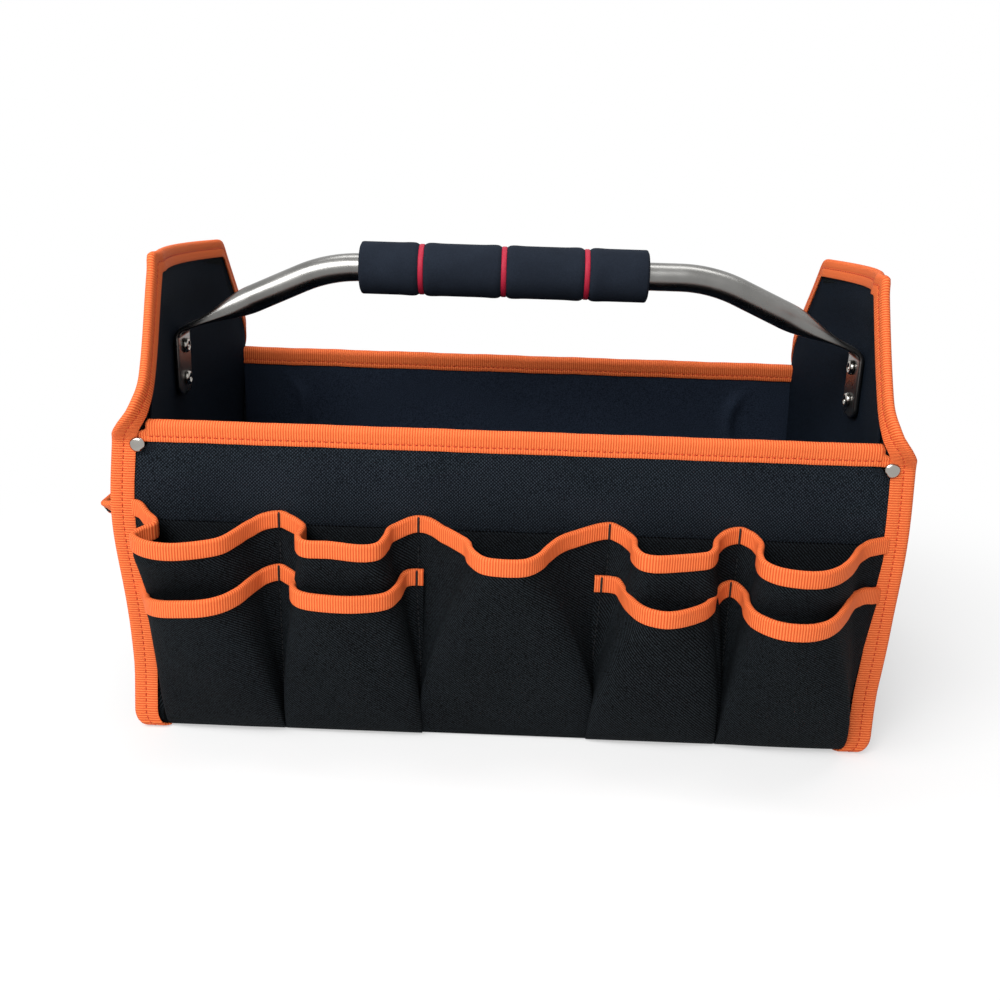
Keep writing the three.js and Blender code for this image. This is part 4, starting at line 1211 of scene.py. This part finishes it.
def corner_rivet(name, turn):
    middle = sum(cad(name), Vector()) / 2
    face = WALL_Y + GAP + TAPE + CAP_OFF
    bm = spun([*cap_outline(), *CAP_SHANK], Vector((0, -turn, 0)),
              Vector((middle.x, -turn * face, middle.z)), Vector((1, 0, 0)), RIVET_SPIN)
    make_piece(f"{name}_cap", bm, "rivet_nickel", [name])


def handle_rivet(name, hand):
    low, high = cad(name)
    inner, outer = TAB_X - TAB_HALF_THICK - ROLLED_OFF, max(abs(low.x), abs(high.x))
    head = [(radius, inner - outer + along) for radius, along in FLAT_HEAD]
    bm = spun([*ROLLED_END, (FLAT_HEAD[0][0], 0), *head], Vector((-hand, 0, 0)),
              Vector((hand * inner, 0, (low.z + high.z) / 2)), Vector((0, 1, 0)), RIVET_SPIN)
    make_piece(f"{name}_head", bm, "rivet_nickel", [name])


for side, turn in SIDES:
    for hand_name, _ in HANDS:
        corner_rivet(f"{side}_rivet_{hand_name}", turn)
for hand_name, hand in HANDS:
    for place_name in ("upper", "lower"):
        handle_rivet(f"handle_rivet_{hand_name}_{place_name}", hand)

# %% [markdown]
# ## Grip
# The grip is a thick foam sleeve that slides on the tube. Three narrow rings sit in grooves, and the
# foam swells softly beside each one. Foam and rings ride on the grip's own body.

# %% Grip
grip_low, grip_high = cad("grip_foam")
GRIP_RADIUS = (grip_high.z - grip_low.z) / 2
GRIP_BORE = TUBE_RADIUS + 0.2
GRIP_HALF = (grip_high.x - grip_low.x) / 2
GRIP_CENTRE = (grip_high + grip_low) / 2
GRIP_STEPS, GRIP_SPIN = 240, 72
EDGE_ROUND = 1.7
NOTCH_DEPTH, NOTCH_WIDTH = 1.8, 2.1
PUFF, PUFF_AT, PUFF_WIDTH = 0.25, 6, 4
FOAM_INSET = 0.35
RINGS = (-1, 0, 1)
RING_PITCH = 47.4
RING_HALF = 1.5
RING_TOP = GRIP_RADIUS - 0.9
RING_INSIDE = RING_TOP - 1.2
RING_ROUND = 0.3


def foam_radius(x):
    """Outer radius along the grip: rounded ends, soft notches at the rings, puffed beside them."""
    notch = NOTCH_DEPTH * max(bump(x, k * RING_PITCH, NOTCH_WIDTH) for k in RINGS)
    puff = PUFF * max(bump(abs(x - k * RING_PITCH), PUFF_AT, PUFF_WIDTH) for k in RINGS)
    end = GRIP_HALF - abs(x)
    drop = EDGE_ROUND - math.sqrt(max(0.0, EDGE_ROUND ** 2 - max(0.0, EDGE_ROUND - end) ** 2))
    return GRIP_RADIUS - FOAM_INSET - notch - drop + puff


def grip_profile():
    outside = [(foam_radius(x), x) for x in spaced(-GRIP_HALF, GRIP_HALF, GRIP_STEPS)]
    return [(GRIP_BORE, -GRIP_HALF), *outside, (GRIP_BORE, GRIP_HALF), (GRIP_BORE, -GRIP_HALF)]


bm = spun(grip_profile(), Vector((1, 0, 0)), GRIP_CENTRE, Vector((0, 0, 1)), GRIP_SPIN)
foam = make_piece("grip_sleeve", bm, "grip_foam", ["grip_foam"], body="grip")
ring = [(RING_INSIDE, -1), (RING_TOP - RING_ROUND, -1), (RING_TOP, -0.6), (RING_TOP, 0.6),
        (RING_TOP - RING_ROUND, 1), (RING_INSIDE, 1), (RING_INSIDE, -1)]
for k in RINGS:
    bm = spun([(radius, RING_HALF * along) for radius, along in ring], Vector((1, 0, 0)),
              GRIP_CENTRE + Vector((k * RING_PITCH, 0, 0)), Vector((0, 0, 1)), GRIP_SPIN)
    make_piece(f"grip_band_{k + 2}", bm, "ring_crimson", [f"grip_ring_{k + 2}"], body="grip")

# %% [markdown]
# ## Boards
# The flat boards of the walls and the base keep their solids, hidden between cloth and lining.

# %% Boards
for node in ("front_board", "back_board", "base_board"):
    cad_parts[node].data.materials.clear()
    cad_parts[node].data.materials.append(FINISHES["stiffener"])

# %% [markdown]
# ## Camera, floor and light
# The camera stands where the picture was taken: in front of the bag, a little above it, tilted down
# and rolled slightly. The floor is pale. A large soft lamp stands at the front left, and a weaker one
# hangs overhead.

# %% Camera
CAMERA_AT = Vector((2.54, -660.09, 321.38))
CAMERA_YAW = -0.0154
CAMERA_PITCH = 0.3186
CAMERA_ROLL = -0.0307
CAMERA_LENS = 40.6
CAMERA_SENSOR = 36


def camera_turn():
    forward = Vector((math.sin(CAMERA_YAW) * math.cos(CAMERA_PITCH),
                      math.cos(CAMERA_YAW) * math.cos(CAMERA_PITCH), -math.sin(CAMERA_PITCH)))
    level = Vector((math.cos(CAMERA_YAW), -math.sin(CAMERA_YAW), 0))
    upright = level.cross(forward)
    right = level * math.cos(CAMERA_ROLL) - upright * math.sin(CAMERA_ROLL)
    up = level * math.sin(CAMERA_ROLL) + upright * math.cos(CAMERA_ROLL)
    return Matrix((right, up, -forward)).transposed().to_4x4()


lens = bpy.data.cameras.new("camera")
lens.sensor_width = CAMERA_SENSOR
lens.lens = CAMERA_LENS
camera = add_object("camera", lens)
camera.matrix_world = Matrix.Translation(CAMERA_AT * MM) @ camera_turn()
bpy.context.scene.camera = camera
print("camera", [round(v) for v in CAMERA_AT])

# %% Floor
FLOOR_SIZE = 6.0
FLOOR_DROP = 0.0004
FLOOR_FADE = (0.2, 0.55)
FLOOR_WHITE = 0.5


def seen_plainly(tree):
    """1 where the camera looks straight at something, through glass or in polished metal."""
    path = add_node(tree, "LightPath").outputs
    seen = math_node(tree, "MAXIMUM", path["Is Camera Ray"], path["Is Transmission Ray"])
    return math_node(tree, "MAXIMUM", seen, path["Is Glossy Ray"])


def show_mix(tree, output, share, first, second):
    """Sends a mix of two shaders to the output."""
    mix = add_node(tree, "MixShader", Fac=share)
    tree.links.new(first.outputs[0], mix.inputs[1])
    tree.links.new(second.outputs[0], mix.inputs[2])
    tree.links.new(mix.outputs[0], tree.nodes[output].inputs["Surface"])


def floor_finish(name):
    """Pale floor that takes the bag's shadow; away from the bag the camera sees plain white."""
    tree = new_finish(name, Roughness=0.9, Specular_IOR_Level=0.1)
    paint(tree, noise(tree, 3.0, 2.0), (0.90, 0.90, 0.90), (0.93, 0.93, 0.93))
    away = add_node(tree, "VectorMath", Vector=add_node(tree, "TexCoord").outputs["Object"])
    away.operation = "LENGTH"
    near, far = FLOOR_FADE
    fade = add_node(tree, "MapRange", Value=away.outputs["Value"], From_Min=near, From_Max=far,
                    To_Min=FLOOR_WHITE)
    fade.interpolation_type = "SMOOTHSTEP"
    share = math_node(tree, "MULTIPLY", seen_plainly(tree), fade.outputs["Result"])
    show_mix(tree, "Material Output", share, shader_of(tree), add_node(tree, "Emission"))


floor_finish("floor")
bm = bmesh.new()
bmesh.ops.create_grid(bm, x_segments=1, y_segments=1, size=FLOOR_SIZE)
floor = add_mesh("floor", bm, "floor")
floor.location.z = -FLOOR_DROP
floor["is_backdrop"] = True
print("floor laid")

# %% Light
LAMP_AIM = Vector((0, 0, 0.1))
AMBIENT = 0.2


def add_lamp(name, at, size, power):
    data = bpy.data.lights.new(name, "AREA")
    data.shape = "RECTANGLE"
    data.size, data.size_y = size
    data.energy = power
    lamp = add_object(name, data)
    lamp.location = at
    lamp.rotation_euler = (LAMP_AIM - Vector(at)).to_track_quat("-Z", "Y").to_euler()


def studio_world():
    """Soft grey light on everything, with a white background for the camera and for polished metal."""
    world = bpy.data.worlds.new("studio")
    world.use_nodes = True
    tree = world.node_tree
    tree.nodes.remove(tree.nodes["Background"])
    grey, white = (add_node(tree, "Background", Color=(1, 1, 1, 1), Strength=strength)
                   for strength in (AMBIENT, 1.0))
    show_mix(tree, "World Output", seen_plainly(tree), grey, white)
    bpy.context.scene.world = world


add_lamp("key", at=(-0.62, -1.05, 1.2), size=(1.4, 0.8), power=33)
add_lamp("top", at=(0.1, 0.3, 1.7), size=(1.6, 0.5), power=12)
studio_world()
bpy.context.scene.view_settings.view_transform = "Standard"
print("two lamps and a white studio")

# %% [markdown]
# ## Finish
# The boxes of the solids and of the dressed bag are printed side by side.

# %% Size and finish
visual_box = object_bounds()
for name, box in (("solids", cad_box), ("dressed", visual_box)):
    print(name, [round(v, 4) for corner in box for v in corner])
